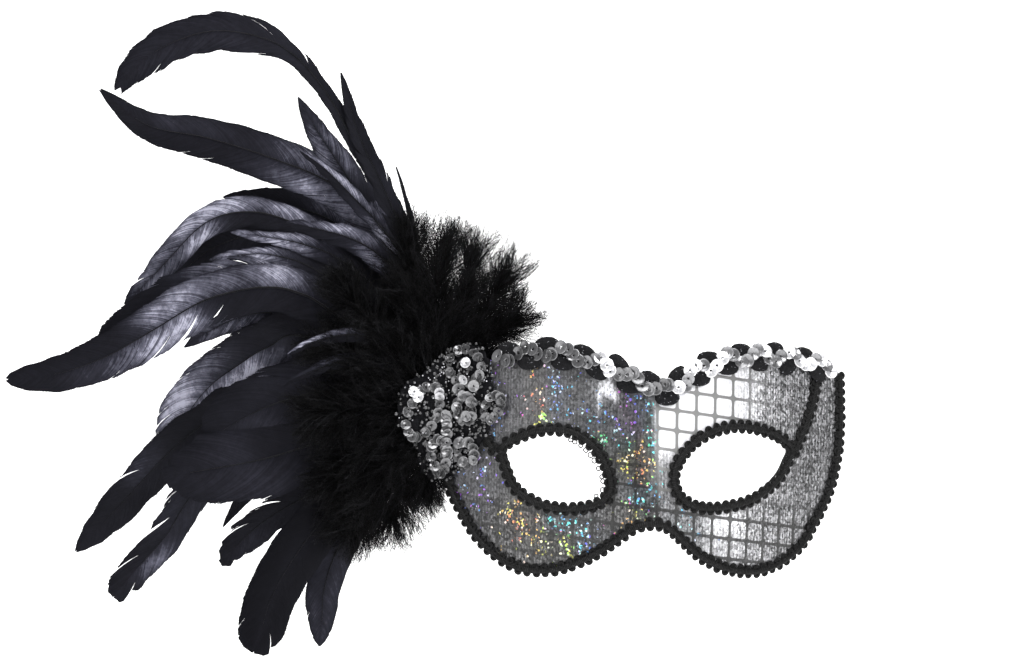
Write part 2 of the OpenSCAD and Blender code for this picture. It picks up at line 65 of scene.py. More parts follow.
def sy(x, z):
    """Inner face of the shell: y over (x, z), as in the CAD."""
    a = np.abs(x)
    flat = FLAT_FROM**2 / (2 * WRAP_R) + (a - FLAT_FROM) * FLAT_FROM / WRAP_R
    wrap = np.where(a < FLAT_FROM, a * a / (2 * WRAP_R), flat)
    low = 1 / (1 + np.exp((z + 2) / 8))
    low0 = 1 / (1 + math.exp(0.25))
    return wrap + DOME * z * z - NOSE_H * (np.exp(-((x / NOSE_W) ** 2)) * low - low0)


def my(x, z):
    """The surface the flower follows: y over (x, z)."""
    return sy(np.maximum(x, MOTIF_BEND), z)


def unit(v):
    return v / np.maximum(np.linalg.norm(v, axis=-1, keepdims=True), 1e-9)


def normal_of(fun, p, e=0.1):
    x, z = p[..., 0], p[..., 1]
    return unit(np.stack([(fun(x + e, z) - fun(x - e, z)) / (2 * e), -np.ones_like(x),
                          (fun(x, z + e) - fun(x, z - e)) / (2 * e)], -1))


def on(p, h, fun=sy, e=0.1):
    """Points at (x, z) on the surface, h in front of it."""
    p = np.asarray(p, float)
    base = np.stack([p[..., 0], fun(p[..., 0], p[..., 1]), p[..., 1]], -1)
    return base + np.asarray(h)[..., None] * normal_of(fun, p, e)


def on_motif(p, h):
    """Points at (x, z), h in front of the flower's base."""
    return on(p, MOTIF_BASE + h, my, 3.0)


def tangents(p, closed=False):
    return unit(np.roll(p, -1, 0) - np.roll(p, 1, 0) if closed else np.gradient(p, axis=0))


def around(n):
    """n angles, evenly round a circle."""
    return np.linspace(0, TAU, n, endpoint=False)


def smooth(p, n, closed=False):
    """Catmull-Rom through the points, n steps a span."""
    p = np.asarray(p, float)
    q = np.vstack([p[-1], p, p[0], p[1]] if closed else [p[0], p, p[-1]])
    t = (np.arange(n) / n)[:, None]
    out = []
    for i in range(len(q) - 3):
        a, b, c, d = q[i:i + 4]
        out.append(0.5 * (2 * b + (c - a) * t + (2 * a - 5 * b + 4 * c - d) * t * t
                          + (3 * b - a - 3 * c + d) * t**3))
    out.append((p[0] if closed else p[-1])[None])
    return np.vstack(out)


def even(p, n):
    """n + 1 points at equal steps along the path."""
    p = np.asarray(p, float)
    c = np.r_[0, np.cumsum(np.linalg.norm(np.diff(p, axis=0), axis=1))]
    d = np.linspace(0, c[-1], n + 1)
    return np.stack([np.interp(d, c, p[:, k]) for k in range(p.shape[1])], -1)


def length_of(p):
    return float(np.linalg.norm(np.diff(p, axis=0), axis=1).sum())


def shifted(p, d, closed=False):
    """Moves an (x, z) path sideways; d > 0 is to its right."""
    t = tangents(p[:-1] if closed else p, closed)
    t = np.vstack([t, t[:1]]) if closed else t
    return p + d * np.stack([t[:, 1], -t[:, 0]], -1)


# outlines in (x, z), from the notch at the top round to the one under the nose
TOP_C, LOW_C = [0, 34.4], [0, -24.8]
RIGHT_TOP = [TOP_C, [6, 32.3], [12.6, 34], [19, 39], [26, 42.3], [35, 44.8], [45, 46.2],
             [55, 46], [66, 44.8], [78, 42.2], [86.2, 40]]
RIGHT_SIDE = [[88.9, 37.5], [89.1, 30], [89, 20], [88.2, 8], [86.5, -2], [83.9, -11],
              [79.9, -19.5], [75.7, -26.5], [71.6, -33.5], [65.5, -39], [57, -43.8], [48, -46],
              [39, -45.4], [30, -42.8], [21.5, -38.2], [14, -32], [8.5, -27.3], [4, -25]]
LEFT_TOP = [TOP_C, [-4, 36.2], [-10.5, 39.4], [-19, 43], [-30, 46.6], [-40, 47.8],
            [-50, 47], [-60, 45], [-72, 43], [-82, 41.5]]
LEFT_SIDE = [[-85, 38.5], [-85.8, 30], [-85.5, 18], [-84.5, 7], [-82.5, -3], [-79.5, -12],
             [-75.5, -20.5], [-71.5, -27.5], [-66.5, -33.8], [-60, -39.6], [-52, -43.8],
             [-43.5, -45], [-34, -43.6], [-25, -40], [-16, -35], [-10, -30.5], [-4, -26]]
EYE_R = [[61, 6.2], [59.6, 2], [56, -3.8], [49.8, -9], [42.4, -12.6], [32.7, -14.6],
         [23.8, -14.7], [16.8, -12.2], [13.2, -6.5], [15.8, 1.5], [21.6, 7.7], [29.6, 12.2],
         [38.6, 13.8], [46.7, 12.8], [54.2, 10.5]]
EYE_L = [[-55.9, 6.2], [-52, 8.8], [-45.2, 11.8], [-37.9, 12.8], [-29.6, 11.1], [-22.4, 5],
         [-18, -3.5], [-17.3, -9.6], [-21.3, -13.2], [-29.6, -14.9], [-37.8, -14.5],
         [-45.6, -11.8], [-51.6, -6.8], [-54.7, 1]]
RIGHT_HALF = smooth(RIGHT_TOP + RIGHT_SIDE + [LOW_C], 8)
LEFT_HALF = smooth(LEFT_TOP + LEFT_SIDE + [LOW_C], 8)
EYE_R_PATH = smooth(EYE_R, 8, True)
EYE_L_PATH = smooth(EYE_L, 8, True)
EYE_C = (37.5, -1.0)


# ---------------------------------------------------------------- meshes
def make(name, verts, quads=(), tris=(), uv=None, mats=(), face_mat=None, smooth_shade=True):
    """A mesh from numpy arrays in millimetres. uv is {layer: one pair a vertex}."""
    me = bpy.data.meshes.new(name)
    verts = np.asarray(verts, float) * MM
    quads = np.asarray(quads, int).reshape(-1, 4)
    tris = np.asarray(tris, int).reshape(-1, 3)
    loops = np.r_[quads.ravel(), tris.ravel()]
    starts = np.r_[np.arange(len(quads)) * 4, len(quads) * 4 + np.arange(len(tris)) * 3]
    me.vertices.add(len(verts))
    me.vertices.foreach_set("co", verts.ravel())
    me.loops.add(len(loops))
    me.loops.foreach_set("vertex_index", loops)
    me.polygons.add(len(starts))
    me.polygons.foreach_set("loop_start", starts)
    for layer, val in (uv or {}).items():
        u = me.uv_layers.new(name=layer)
        u.data.foreach_set("uv", np.asarray(val, float)[loops].ravel())
    me.polygons.foreach_set("use_smooth", np.full(len(starts), smooth_shade))
    for m in mats:
        me.materials.append(m)
    if face_mat is not None:
        me.polygons.foreach_set("material_index", np.asarray(face_mat, int))
    me.update(calc_edges=True)
    me.validate()
    ob = bpy.data.objects.new(name, me)
    bpy.context.scene.collection.objects.link(ob)
    return ob


class Heap:
    """Collects many small shapes into one mesh."""

    def __init__(self):
        self.v, self.q, self.t, self.uv, self.tone, self.bake = [], [], [], [], [], []
        self.qm, self.tm = [], []
        self.n = 0

    def add(self, v, quads=None, tris=None, uv=None, tone=None, bake=None, mat=0):
        v = np.asarray(v, float).reshape(-1, 3)
        self.v.append(v)
        if quads is not None and len(quads):
            self.q.append(np.asarray(quads, int) + self.n)
            self.qm.append(np.full(len(quads), mat))
        if tris is not None and len(tris):
            self.t.append(np.asarray(tris, int) + self.n)
            self.tm.append(np.full(len(tris), mat))
        self.uv.append(np.zeros((len(v), 2)) if uv is None else np.asarray(uv, float))
        tone = (0.5, 0.5) if tone is None else tone
        tone = np.asarray(tone, float)
        self.tone.append(np.tile(tone, (len(v), 1)) if tone.ndim == 1 else tone)
        if bake is not None:
            self.bake.append(np.asarray(bake, float))
        self.n += len(v)

    def make(self, name, mats, smooth_shade=True):
        q = np.vstack(self.q) if self.q else np.zeros((0, 4), int)
        t = np.vstack(self.t) if self.t else np.zeros((0, 3), int)
        fm = np.r_[tuple(self.qm) + tuple(self.tm)] if len(mats) > 1 else None
        uv = {"thread": np.vstack(self.uv), "tone": np.vstack(self.tone)}
        if len(self.bake) == len(self.v):
            uv["OFBake"] = np.vstack(self.bake)
        return make(name, np.vstack(self.v), q, t, uv, mats, fm, smooth_shade)


def grid_quads(rows, cols, wrap_cols=False, wrap_rows=False):
    i = np.arange(rows if wrap_rows else rows - 1)
    j = np.arange(cols if wrap_cols else cols - 1)
    i, j = [a.ravel() for a in np.meshgrid(i, j, indexing="ij")]
    i2, j2 = (i + 1) % rows, (j + 1) % cols
    return np.stack([i * cols + j, i * cols + j2, i2 * cols + j2, i2 * cols + j], -1)


def band(a, b, n):
    """Quads between two closed rings of n vertices, one starting at a and one at b."""
    i = np.arange(n)
    j = (i + 1) % n
    return np.stack([a + i, a + j, b + j, b + i], -1)


def fan(hub, start, n):
    """Triangles from a hub vertex to a closed ring of n vertices."""
    i = np.arange(n)
    return np.stack([np.full(n, hub), start + i, start + (i + 1) % n], -1)


def tube(path, radius, sides=8, flat=1.0, up=None, closed=False):
    """Vertices and quads of a tube; radius may vary along it, flat squashes it along up."""
    path = np.asarray(path, float)
    n = len(path)
    d = tangents(path, closed)
    if up is None:
        up = np.tile([0.13, -0.95, 0.28], (n, 1))
    s = unit(np.cross(d, up))
    u = np.cross(s, d)
    a = around(sides)
    r = np.broadcast_to(np.asarray(radius, float), (n,))[:, None, None]
    ring = np.cos(a)[None, :, None] * s[:, None] + flat * np.sin(a)[None, :, None] * u[:, None]
    v = path[:, None] + r * ring
    return v.reshape(-1, 3), grid_quads(n, sides, True, closed)


def frames_at(c, closed, fun=sy, e=0.1):
    """Along, side and out directions of an (x, z) path on the surface."""
    d = tangents(on(c, 0.0, fun, e), closed)
    u = normal_of(fun, np.asarray(c, float), e)
    return d, unit(np.cross(d, u)), u


# ---------------------------------------------------------------- materials
class Mat:
    """A node material with short calls."""

    def __init__(self, name, slot_name):
        self.m = bpy.data.materials.new(name)
        self.m.use_nodes = True
        self.slot = slot_name
        self.t = self.m.node_tree
        self.b = self.t.nodes["Principled BSDF"]

    def n(self, kind, **kw):
        nd = self.t.nodes.new("ShaderNode" + kind)
        ins = kw.pop("ins", {})
        for k, v in kw.items():
            setattr(nd, k, v)
        for k, v in ins.items():
            self.set(nd, k, v)
        return nd

    def set(self, nd, k, v):
        if isinstance(v, bpy.types.NodeSocket):
            self.t.links.new(v, nd.inputs[k])
        else:
            nd.inputs[k].default_value = v

    def bsdf(self, **kw):
        for k, v in kw.items():
            self.set(self.b, k.replace("_", " "), v)

    def math(self, op, a, b=0.0, c=0.0, clamp=False):
        nd = self.n("Math", operation=op, use_clamp=clamp)
        for k, v in enumerate((a, b, c)):
            self.set(nd, k, v)
        return nd.outputs[0]

    def add(self, a, b):
        return self.math("ADD", a, b)

    def sub(self, a, b):
        return self.math("SUBTRACT", a, b)

    def mul(self, a, b, clamp=False):
        return self.math("MULTIPLY", a, b, clamp=clamp)

    def madd(self, a, b, c):
        return self.math("MULTIPLY_ADD", a, b, c)

    def ridges(self, a, turns):
        """A sine with so many turns for each unit of a."""
        return self.math("SINE", self.mul(a, TAU * turns))

    def cells(self, scale, vec=None):
        """Three random values for each little cell of space."""
        vor = self.n("TexVoronoi", ins={"Scale": scale, "Vector": vec or self.obj()})
        return self.n("SeparateColor", ins={0: vor.outputs["Color"]}).outputs

    def span(self, value, lo, hi, to_lo=0.0, to_hi=1.0):
        """value taken from the range lo to hi into the range to_lo to to_hi."""
        return self.n("MapRange", ins={"Value": value, "From Min": lo, "From Max": hi,
                                       "To Min": to_lo, "To Max": to_hi}).outputs[0]

    def colour(self, a, b, c, mode="RGB"):
        return self.n("CombineColor", mode=mode, ins={0: a, 1: b, 2: c}).outputs[0]

    def mix(self, f, a, b, mode="MIX"):
        nd = self.n("Mix", data_type="RGBA", blend_type=mode)
        self.set(nd, 0, f)
        self.set(nd, 6, a)
        self.set(nd, 7, b)
        return nd.outputs[2]

    def ramp(self, f, stops):
        nd = self.n("ValToRGB")
        el = nd.color_ramp.elements
        while len(el) > 2:
            el.remove(el[-1])
        for k, (p, c) in enumerate(stops):
            e = el[k] if k < 2 else el.new(p)
            e.position = p
            e.color = (*c, 1) if len(c) == 3 else c
        self.set(nd, 0, f)
        return nd.outputs[0]

    def uv(self, layer):
        nd = self.n("UVMap", uv_map=layer)
        sp = self.n("SeparateXYZ", ins={0: nd.outputs[0]})
        return sp.outputs[0], sp.outputs[1]

    def obj(self):
        return self.n("TexCoord").outputs["Object"]

    def noise(self, scale, detail=2.0, rough=0.5, vec=None):
        nd = self.n("TexNoise", ins={"Scale": scale, "Detail": detail, "Roughness": rough})
        self.set(nd, "Vector", vec if vec is not None else self.obj())
        return nd.outputs[0]

    def bump(self, height, dist, strength=1.0):
        nd = self.n("Bump", ins={"Height": height, "Distance": dist, "Strength": strength})
        self.set(self.b, "Normal", nd.outputs[0])
        return nd


def foil_cloth():
    """Holographic foil: a grid of rounded squares, threads, glitter, painted rainbow glints and a
    painted reflection map.
    """
    m = Mat("foil_cloth", "foil_cloth")
    u, v = m.uv("cloth")
    tone_and_reflection, grain = m.uv("tone")
    hue, glint = m.uv("hue")
    grid_on, line_lum = m.uv("grid")
    fu = m.math("ABSOLUTE", m.sub(m.math("FRACT", u), 0.5))
    fv = m.math("ABSOLUTE", m.sub(m.math("FRACT", v), 0.5))
    r = m.math("POWER", m.add(m.math("POWER", fu, 7.0), m.math("POWER", fv, 7.0)), 1 / 7)
    line = m.mul(m.span(r, 0.415, 0.435), grid_on)
    # glitter: tiny facets, each with its own brightness
    tall = m.n("Mapping", ins={"Vector": m.obj(), "Scale": (1.0, 1.0, 0.7)})
    cell = m.cells(1350.0, tall.outputs[0])
    crinkle = m.noise(900.0, 3.0, 0.7)
    grit = m.sub(m.add(m.mul(cell[0], 1.2), m.mul(crinkle, 2.0)), 1.6)
    lum = m.madd(grit, grain, 1.0)
    # threads run up the cloth in uneven groups, with a fainter weft across them
    warp = m.n("TexWave", wave_type="BANDS", ins={"Scale": 1.0, "Distortion": 0.0})
    wv = m.n("CombineXYZ", ins={0: m.mul(u, 1.9)})
    m.set(warp, "Vector", wv.outputs[0])
    groups = m.n("CombineXYZ", ins={0: m.mul(u, 7.0), 1: m.mul(v, 0.15)})
    threads = m.mul(warp.outputs["Fac"], m.noise(1.0, 2.0, 0.6, groups.outputs[0]))
    weft = m.ridges(v, 9)
    weave = m.add(m.mul(threads, 0.75), m.mul(weft, 0.05))
    lum = m.mul(lum, m.madd(weave, grain, 0.93))
    lum = m.math("POWER", m.math("MAXIMUM", lum, 0.15), 1.7)
    # the foil's tone with painted reflection and shade sets how light it is here
    lum = m.mul(lum, tone_and_reflection, clamp=True)
    silver = m.colour(lum, lum, m.mul(lum, 1.04))
    # painted rainbow glints: the hue runs over the cloth and jumps a little from facet to facet
    dot = m.cells(1250.0)
    h = m.math("FRACT", m.madd(m.sub(dot[1], 0.5), 0.16, hue))
    tint = m.colour(h, 0.8, 0.95, "HSV")
    pale = m.colour(h, 0.28, 1.0, "HSV")
    cluster = m.span(m.noise(230.0, 2.0), 0.44, 0.66)
    chance = m.mul(glint, m.add(cluster, 0.10))
    spark = m.math("GREATER_THAN", chance, dot[2])
    core = m.math("GREATER_THAN", m.mul(chance, 0.25), dot[2])
    washed = m.mix(m.mul(glint, 0.5), silver, m.mix(1.0, silver, tint, "MULTIPLY"))
    col = m.mix(m.mul(spark, 0.85), washed, tint)
    col = m.mix(core, col, pale)
    col = m.mix(m.mul(line, 0.92), col, m.colour(line_lum, line_lum, m.mul(line_lum, 0.98)))
    height = m.sub(m.mul(grit, 0.5), line)
    m.bsdf(Base_Color=col, Metallic=0.25, Roughness=0.36)
    m.bump(height, 0.00016, 0.55)
    m.bsdf(Coat_Weight=0.2, Coat_Roughness=0.2)
    return m


def gimp_thread():
    """Black thread wound round a cord: fine ridges, a satin sheen, dusty specks and a painted
    highlight along each turn.
    """
    m = Mat("gimp_thread", "gimp")
    ridge = m.ridges(m.uv("thread")[0], 1)
    dust = m.noise(900.0, 3.0)
    # the ridge term paints a highlight along each turn of thread; the dust adds lighter specks
    f = m.add(m.mul(ridge, 0.25), m.mul(dust, 0.9))
    col = m.ramp(f, [(0.15, (0.003, 0.003, 0.003)), (0.62, (0.012, 0.012, 0.012)),
                     (0.95, (0.050, 0.050, 0.052))])
    m.bsdf(Base_Color=col, Roughness=0.60, Specular_IOR_Level=0.18)
    m.bump(ridge, 0.00014, 1.0)
    return m


def trim_lobe():
    """Black metallic-thread lobes: fuzzy, with small sparks."""
    m = Mat("trim_lobe", "trim_textile")
    ridge = m.ridges(m.uv("thread")[0], 1)
    spark = m.math("GREATER_THAN", m.cells(2600.0)[0], 0.985)
    base = m.ramp(m.noise(1200.0, 3.0), [(0.3, (0.003, 0.003, 0.004)),
                                         (0.75, (0.016, 0.016, 0.018))])
    col = m.mix(m.mul(spark, 0.5), base, (0.5, 0.5, 0.55, 1))
    m.bsdf(Base_Color=col, Roughness=0.6, Specular_IOR_Level=0.14)
    m.bump(m.add(ridge, m.noise(1500.0, 2.0)), 0.00012, 0.8)
    return m


def sequin_film():
    """Silvered plastic: each sequin has its own tone, some painted white as highlights, a smoky
    centre and fine scratches.
    """
    m = Mat("sequin_film", "sequin")
    r, a = m.uv("thread")
    tone = m.uv("tone")[0]
    scr = m.noise(700.0, 4.0, 0.7)
    facet = m.add(m.mul(m.ridges(a, 8), 0.06), 0.94)
    lum = m.mul(tone, m.add(m.mul(scr, 0.7), 0.62))
    lum = m.mul(lum, facet)
    ring = m.add(m.mul(m.math("SMOOTH_MIN", r, 1.0, 0.2), 0.3), 0.72)
    lum = m.mul(lum, ring)
    m.bsdf(Base_Color=m.colour(lum, lum, m.mul(lum, 1.04)), Metallic=0.55, Roughness=0.22,
           Coat_Weight=0.6, Coat_Roughness=0.08)
    m.bump(scr, 0.00004, 0.5)
    return m


def vane_barbs():
    """Dyed coque vane: near black, with a painted lavender sheen in bands set for each feather."""
    m = Mat("vane_barbs", "coque")
    painted_sheen, rnd = m.uv("tone")
    streak = m.ridges(m.uv("thread")[0], 2)
    grain = m.noise(420.0, 4.0, 0.65)
    patch = m.noise(75.0, 2.0)
    g = m.mul(painted_sheen, m.madd(rnd, 0.55, 0.68))
    g = m.mul(g, m.madd(grain, 1.1, 0.45))
    g = m.mul(g, m.madd(patch, 1.2, 0.40))
    g = m.mul(g, m.madd(streak, 0.10, 0.95), clamp=True)
    # the ramp's lavender end is the painted highlight
    col = m.ramp(g, [(0.0, (0.003, 0.003, 0.004)), (0.3, (0.022, 0.022, 0.031)),
                     (0.65, (0.125, 0.125, 0.165)), (1.0, (0.450, 0.450, 0.550))])
    m.bsdf(Base_Color=col, Roughness=0.42, Specular_IOR_Level=0.08,
           Specular_Tint=(0.86, 0.86, 1.0, 1))
    m.bump(streak, 0.00004, 0.5)
    return m


def quill_horn():
    """Quills and down stems: black horn with a dull shine."""
    m = Mat("quill_horn", "coque")
    col = m.ramp(m.noise(300.0, 3.0), [(0.3, (0.003, 0.003, 0.004)),
                                       (0.8, (0.012, 0.012, 0.015))])
    m.bsdf(Base_Color=col, Roughness=0.45, Specular_IOR_Level=0.10)
    return m


def down_fibre():
    """Marabou down: soft black, each fibre a touch lighter or darker than its neighbours."""
    m = Mat("down_fibre", "marabou")
    rnd = m.uv("tone")[1]
    f = m.add(m.mul(rnd, 0.7), m.mul(m.noise(160.0), 0.45))
    col = m.ramp(f, [(0.3, (0.002, 0.002, 0.002)), (0.8, (0.008, 0.008, 0.009)),
                     (1.0, (0.030, 0.030, 0.034))])
    m.bsdf(Base_Color=col, Roughness=0.85, Specular_IOR_Level=0.10)
    return m


def net_black():
    """Black net: a fine square mesh of thread."""
    m = Mat("net_black", "net")
    u, v = m.uv("thread")
    su = m.math("ABSOLUTE", m.math("SINE", m.mul(u, 4.2)))
    sv = m.math("ABSOLUTE", m.math("SINE", m.mul(v, 4.2)))
    mesh = m.math("MAXIMUM", su, sv)
    col = m.ramp(m.mul(mesh, m.noise(600.0, 3.0)),
                 [(0.2, (0.002, 0.002, 0.003)), (0.7, (0.012, 0.012, 0.014))])
    m.bsdf(Base_Color=col, Roughness=0.8, Specular_IOR_Level=0.1)
    m.bump(mesh, 0.00015, 0.8)
    return m


def bead_glass(name, dark):
    """Glass beads, clear or jet, no two quite the same tone."""
    m = Mat(name, "bead")
    lo, hi = (0.01, 0.09) if dark else (0.35, 0.85)
    f = m.add(m.mul(m.uv("tone")[1], 0.8), m.mul(m.noise(800.0), 0.2))
    col = m.ramp(f, [(0.1, (lo, lo, lo * 1.1)), (0.9, (hi, hi, hi * 1.05))])
    m.bsdf(Base_Color=col, Roughness=0.08 if dark else 0.12, Specular_IOR_Level=0.7,
           Coat_Weight=0.5, Coat_Roughness=0.03)
    return m


def shell_inside():
    """Moulded pulp shell, painted matt black inside."""
    m = Mat("shell_inside", "shell")
    n1 = m.noise(260.0, 5.0, 0.6)
    n2 = m.noise(40.0, 2.0)
    col = m.ramp(m.add(m.mul(n1, 0.7), m.mul(n2, 0.3)),
                 [(0.3, (0.018, 0.018, 0.020)), (0.7, (0.045, 0.045, 0.048))])
    m.bsdf(Base_Color=col, Roughness=0.72, Specular_IOR_Level=0.3)
    m.bump(n1, 0.0002, 0.5)
    return m


def felt_black(name, slot_name):
    """Pressed black fibre, for the felt and the card."""
    m = Mat(name, slot_name)
    vec = m.n("Mapping", ins={"Vector": m.obj(), "Scale": (1.0, 1.0, 2.6)})
    n1 = m.noise(1100.0, 5.0, 0.75, vec.outputs[0])
    n2 = m.noise(120.0, 2.0)
    col = m.ramp(m.add(m.mul(n1, 0.75), m.mul(n2, 0.25)),
                 [(0.25, (0.008, 0.008, 0.010)), (0.8, (0.05, 0.05, 0.056))])
    m.bsdf(Base_Color=col, Roughness=0.95, Sheen_Weight=0.3, Sheen_Roughness=0.6)
    m.bump(n1, 0.0003, 0.8)
    return m


def moulded_plastic():
    """Dull black plastic of the strap loops."""
    m = Mat("moulded_plastic", "strap_loop")
    n1 = m.noise(800.0, 3.0)
    col = m.ramp(n1, [(0.2, (0.014, 0.014, 0.016)), (0.8, (0.03, 0.03, 0.033))])
    m.bsdf(Base_Color=col, Roughness=0.42)
    m.bump(n1, 0.00005, 0.4)
    return m


M_FOIL = foil_cloth()
M_GIMP = gimp_thread()
M_LOBE = trim_lobe()
M_SEQ = sequin_film()
M_VANE = vane_barbs()
M_QUILL = quill_horn()
M_DOWN = down_fibre()
M_NET = net_black()
M_BEAD = bead_glass("bead_clear", False)
M_JET = bead_glass("bead_jet", True)
M_SHELL = shell_inside()
M_FELT = felt_black("felt_black", "felt")
M_CARD = felt_black("card_black", "card")
M_LOOP = moulded_plastic()


def done(ob, slot_name, *nodes):
    """Each finished piece rides on the part's one body and stands for its CAD nodes."""
    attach(ob, "root")
    if nodes:
        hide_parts(*nodes)
    return ob


# ---------------------------------------------------------------- shell and cloth
SEG_OUT, SEG_MID, RINGS = 190, 34, 26


def ring_sheet(h0, h1, grow):
    """The curved sheet between the outline and the eye openings, front and back."""
    layers, quads = [], []
    for side, (half, hole) in enumerate(((RIGHT_HALF, EYE_R_PATH), (LEFT_HALF, EYE_L_PATH))):
        c = np.array([EYE_C[0] * (1 - 2 * side), EYE_C[1]])
        mid = np.linspace(LOW_C, TOP_C, SEG_MID + 1)[1:-1]
        rim = np.vstack([even(half, SEG_OUT), mid])
        # the opening's edge, at the same angles as the rim's points
        ang = np.arctan2(hole[:-1, 1] - c[1], hole[:-1, 0] - c[0])
        order = np.argsort(ang)
        ang, rad = ang[order], np.linalg.norm(hole[:-1] - c, axis=1)[order]
        a = np.arctan2(rim[:, 1] - c[1], rim[:, 0] - c[0])
        r = np.interp(a, np.r_[ang - TAU, ang, ang + TAU], np.tile(rad, 3)) + grow
        eye = c + r[:, None] * np.stack([np.cos(a), np.sin(a)], -1)
        t = np.linspace(0, 1, RINGS + 1)[:, None, None]
        p = (eye * (1 - t) + rim * t).reshape(-1, 2)
        layers += [(p, h1), (p, h0)]
    n_rim = len(rim)
    n_lay = n_rim * (RINGS + 1)
    verts = np.vstack([on(p, h) for p, h in layers])
    flat = np.vstack([p for p, h in layers])
    base = grid_quads(RINGS + 1, n_rim, True)
    for side in (0, 1):
        first = 2 * n_lay * side
        front, rear = base + first, base + first + n_lay
        quads += [front, rear[:, ::-1]] if side else [front[:, ::-1], rear]
        wall = band(first, first + n_lay, n_rim)
        quads.append(wall if side else wall[:, ::-1])
        e = first + n_rim * RINGS + np.arange(SEG_OUT)
        edge = np.stack([e, e + 1, e + n_lay + 1, e + n_lay], -1)
        quads.append(edge[:, ::-1] if side else edge)
    return verts, np.vstack(quads), flat


def weld(ob, dist):
    """Joins the vertices where the halves of a sheet meet."""
    bm = bmesh.new()
    bm.from_mesh(ob.data)
    bmesh.ops.remove_doubles(bm, verts=bm.verts, dist=dist)
    bmesh.ops.recalc_face_normals(bm, faces=bm.faces)
    bm.to_mesh(ob.data)
    bm.free()
    return ob


v, q, flat = ring_sheet(0.0, SHELL_T, 1.5)
shell = make("shell_moulding", v, q, mats=[M_SHELL.m])
weld(shell, 1e-6)
done(shell, "shell", "mask_shell")


def blob(p, x, z, rx, rz, amp=1.0):
    """A soft round patch, worth amp at its middle."""
    return amp * np.exp(-(((p[:, 0] - x) / rx) ** 2) - ((p[:, 1] - z) / rz) ** 2)


def step(value, at, width):
    """Rises softly from 0 to 1 where value passes at."""
    return 1 / (1 + np.exp(-(value - at) / width))


# painted rainbow glints, where the foil flashes with colour: x, z, reach in x, reach in z, hue,
# strength
GLINTS = [(-50, -24, 6, 5.5, 0.08, 1.15), (-53, -19, 5, 5, 0.12, 0.5),
          (-36, -33, 10, 5, 0.18, 0.55), (-33, -24, 9, 4, 0.54, 0.65),
          (-44, -34, 7, 5, 0.12, 0.35), (-24, -32, 8, 5, 0.60, 0.5),
          (-79, -4, 4, 7, 0.67, 0.75), (-68, -4, 5, 6, 0.66, 0.35),
          (-72, -16, 6, 8, 0.68, 0.3), (-62, 22, 2.5, 12, 0.66, 0.75),
          (-58, 28, 4, 6, 0.70, 0.3), (-44, 27, 2.5, 9, 0.06, 0.65),
          (-42, 20, 3, 4, 0.27, 0.7), (-36, 30, 3, 11, 0.62, 0.85),
          (-19, 10, 3, 5, 0.36, 0.8), (-20, 18, 8, 8, 0.60, 0.35),
          (-8, 2, 4, 5, 0.15, 0.9), (-8, 10, 4, 5, 0.48, 0.7), (-6, 20, 5, 10, 0.80, 0.5),
          (-2, 0, 4, 12, 0.07, 0.7), (-3, 25, 5, 8, 0.60, 0.6), (-2, -12, 6, 9, 0.55, 0.6),
          (1, 14, 2.5, 14, 0.50, 0.5), (14, -26, 9, 8, 0.55, 0.28), (-6, -20, 8, 6, 0.12, 0.4)]

v, q, flat = ring_sheet(SHELL_T + 0.05, SHELL_T + 0.05 + CLOTH_T, 1.7)
x, z = flat[:, 0], flat[:, 1]
arc = np.sign(x) * np.minimum(np.abs(x), 70) ** 3 / (6 * WRAP_R**2) + x
PITCH_U, PITCH_V, SLOPE = 8.45, 8.5, 0.145
cloth_uv = np.stack([(arc - 3.9 - 0.03 * z) / PITCH_U, (z + SLOPE * x + 0.2) / PITCH_V], -1)
right = step(x, 3.9, 0.4)
temple = step(x, 44 + 0.12 * z, 4.2)
white_reflection = right * (1 - temple)
low = step(-z, 14, 1.5)
far = step(x, 25, 1.5)
# painted reflection and shade: the squares right of the bridge are painted white where they
# reflect the key light, glitter towards the temple, mid grey to the left; below the openings
# painted shade makes it darker, but for two painted reflections on the right-hand cheek
cheek_reflections = blob(flat, 35, -24, 8, 4.5, 0.6) + blob(flat, 44, -32, 8, 6, 0.25)
tone_and_reflection = 0.078 + 0.08 * temple
tone_and_reflection += white_reflection * (0.88 * (1 - low) + low * (0.05 + far * (0.26 + cheek_reflections)))
tone_and_reflection += blob(flat, -28, 30, 14, 10, 0.012) - blob(flat, -30, -34, 16, 11, 0.012)
# painted shade on the left flank of the nose bridge, and a darker patch lower left
tone_and_reflection -= blob(flat, -4, 0, 7, 18, 0.018) + blob(flat, -68, -18, 12, 12, 0.01)
tone_and_reflection -= 0.032 * low * (1 - right)
tone_and_reflection -= 0.055 * step(x, 63, 3) * step(-z, -18, 5)
# painted shade on the right flank of the nose and below the right-hand opening takes the painted
# white away
flank_shade = step(-z, -5, 1.5) * step(-x, -16, 1.5) + blob(flat, 20, -32, 10, 10)
flank_shade = np.clip(flank_shade, 0, 1)
tone_and_reflection -= 0.78 * flank_shade * white_reflection * (1 - low)
# painted highlights: white glints on the foil under the bright sequins by the top notch
tone_and_reflection += blob(flat, -16.5, 33.5, 2.4, 3.2, 1.4) + blob(flat, -13, 30, 1.6, 2.2, 0.9)
tone_and_reflection += blob(flat, -19.5, 28, 1.0, 3.5, 0.5) + blob(flat, -20, 34, 4, 9, 0.07)
tone_and_reflection = np.clip(tone_and_reflection, 0.035, 0.95)
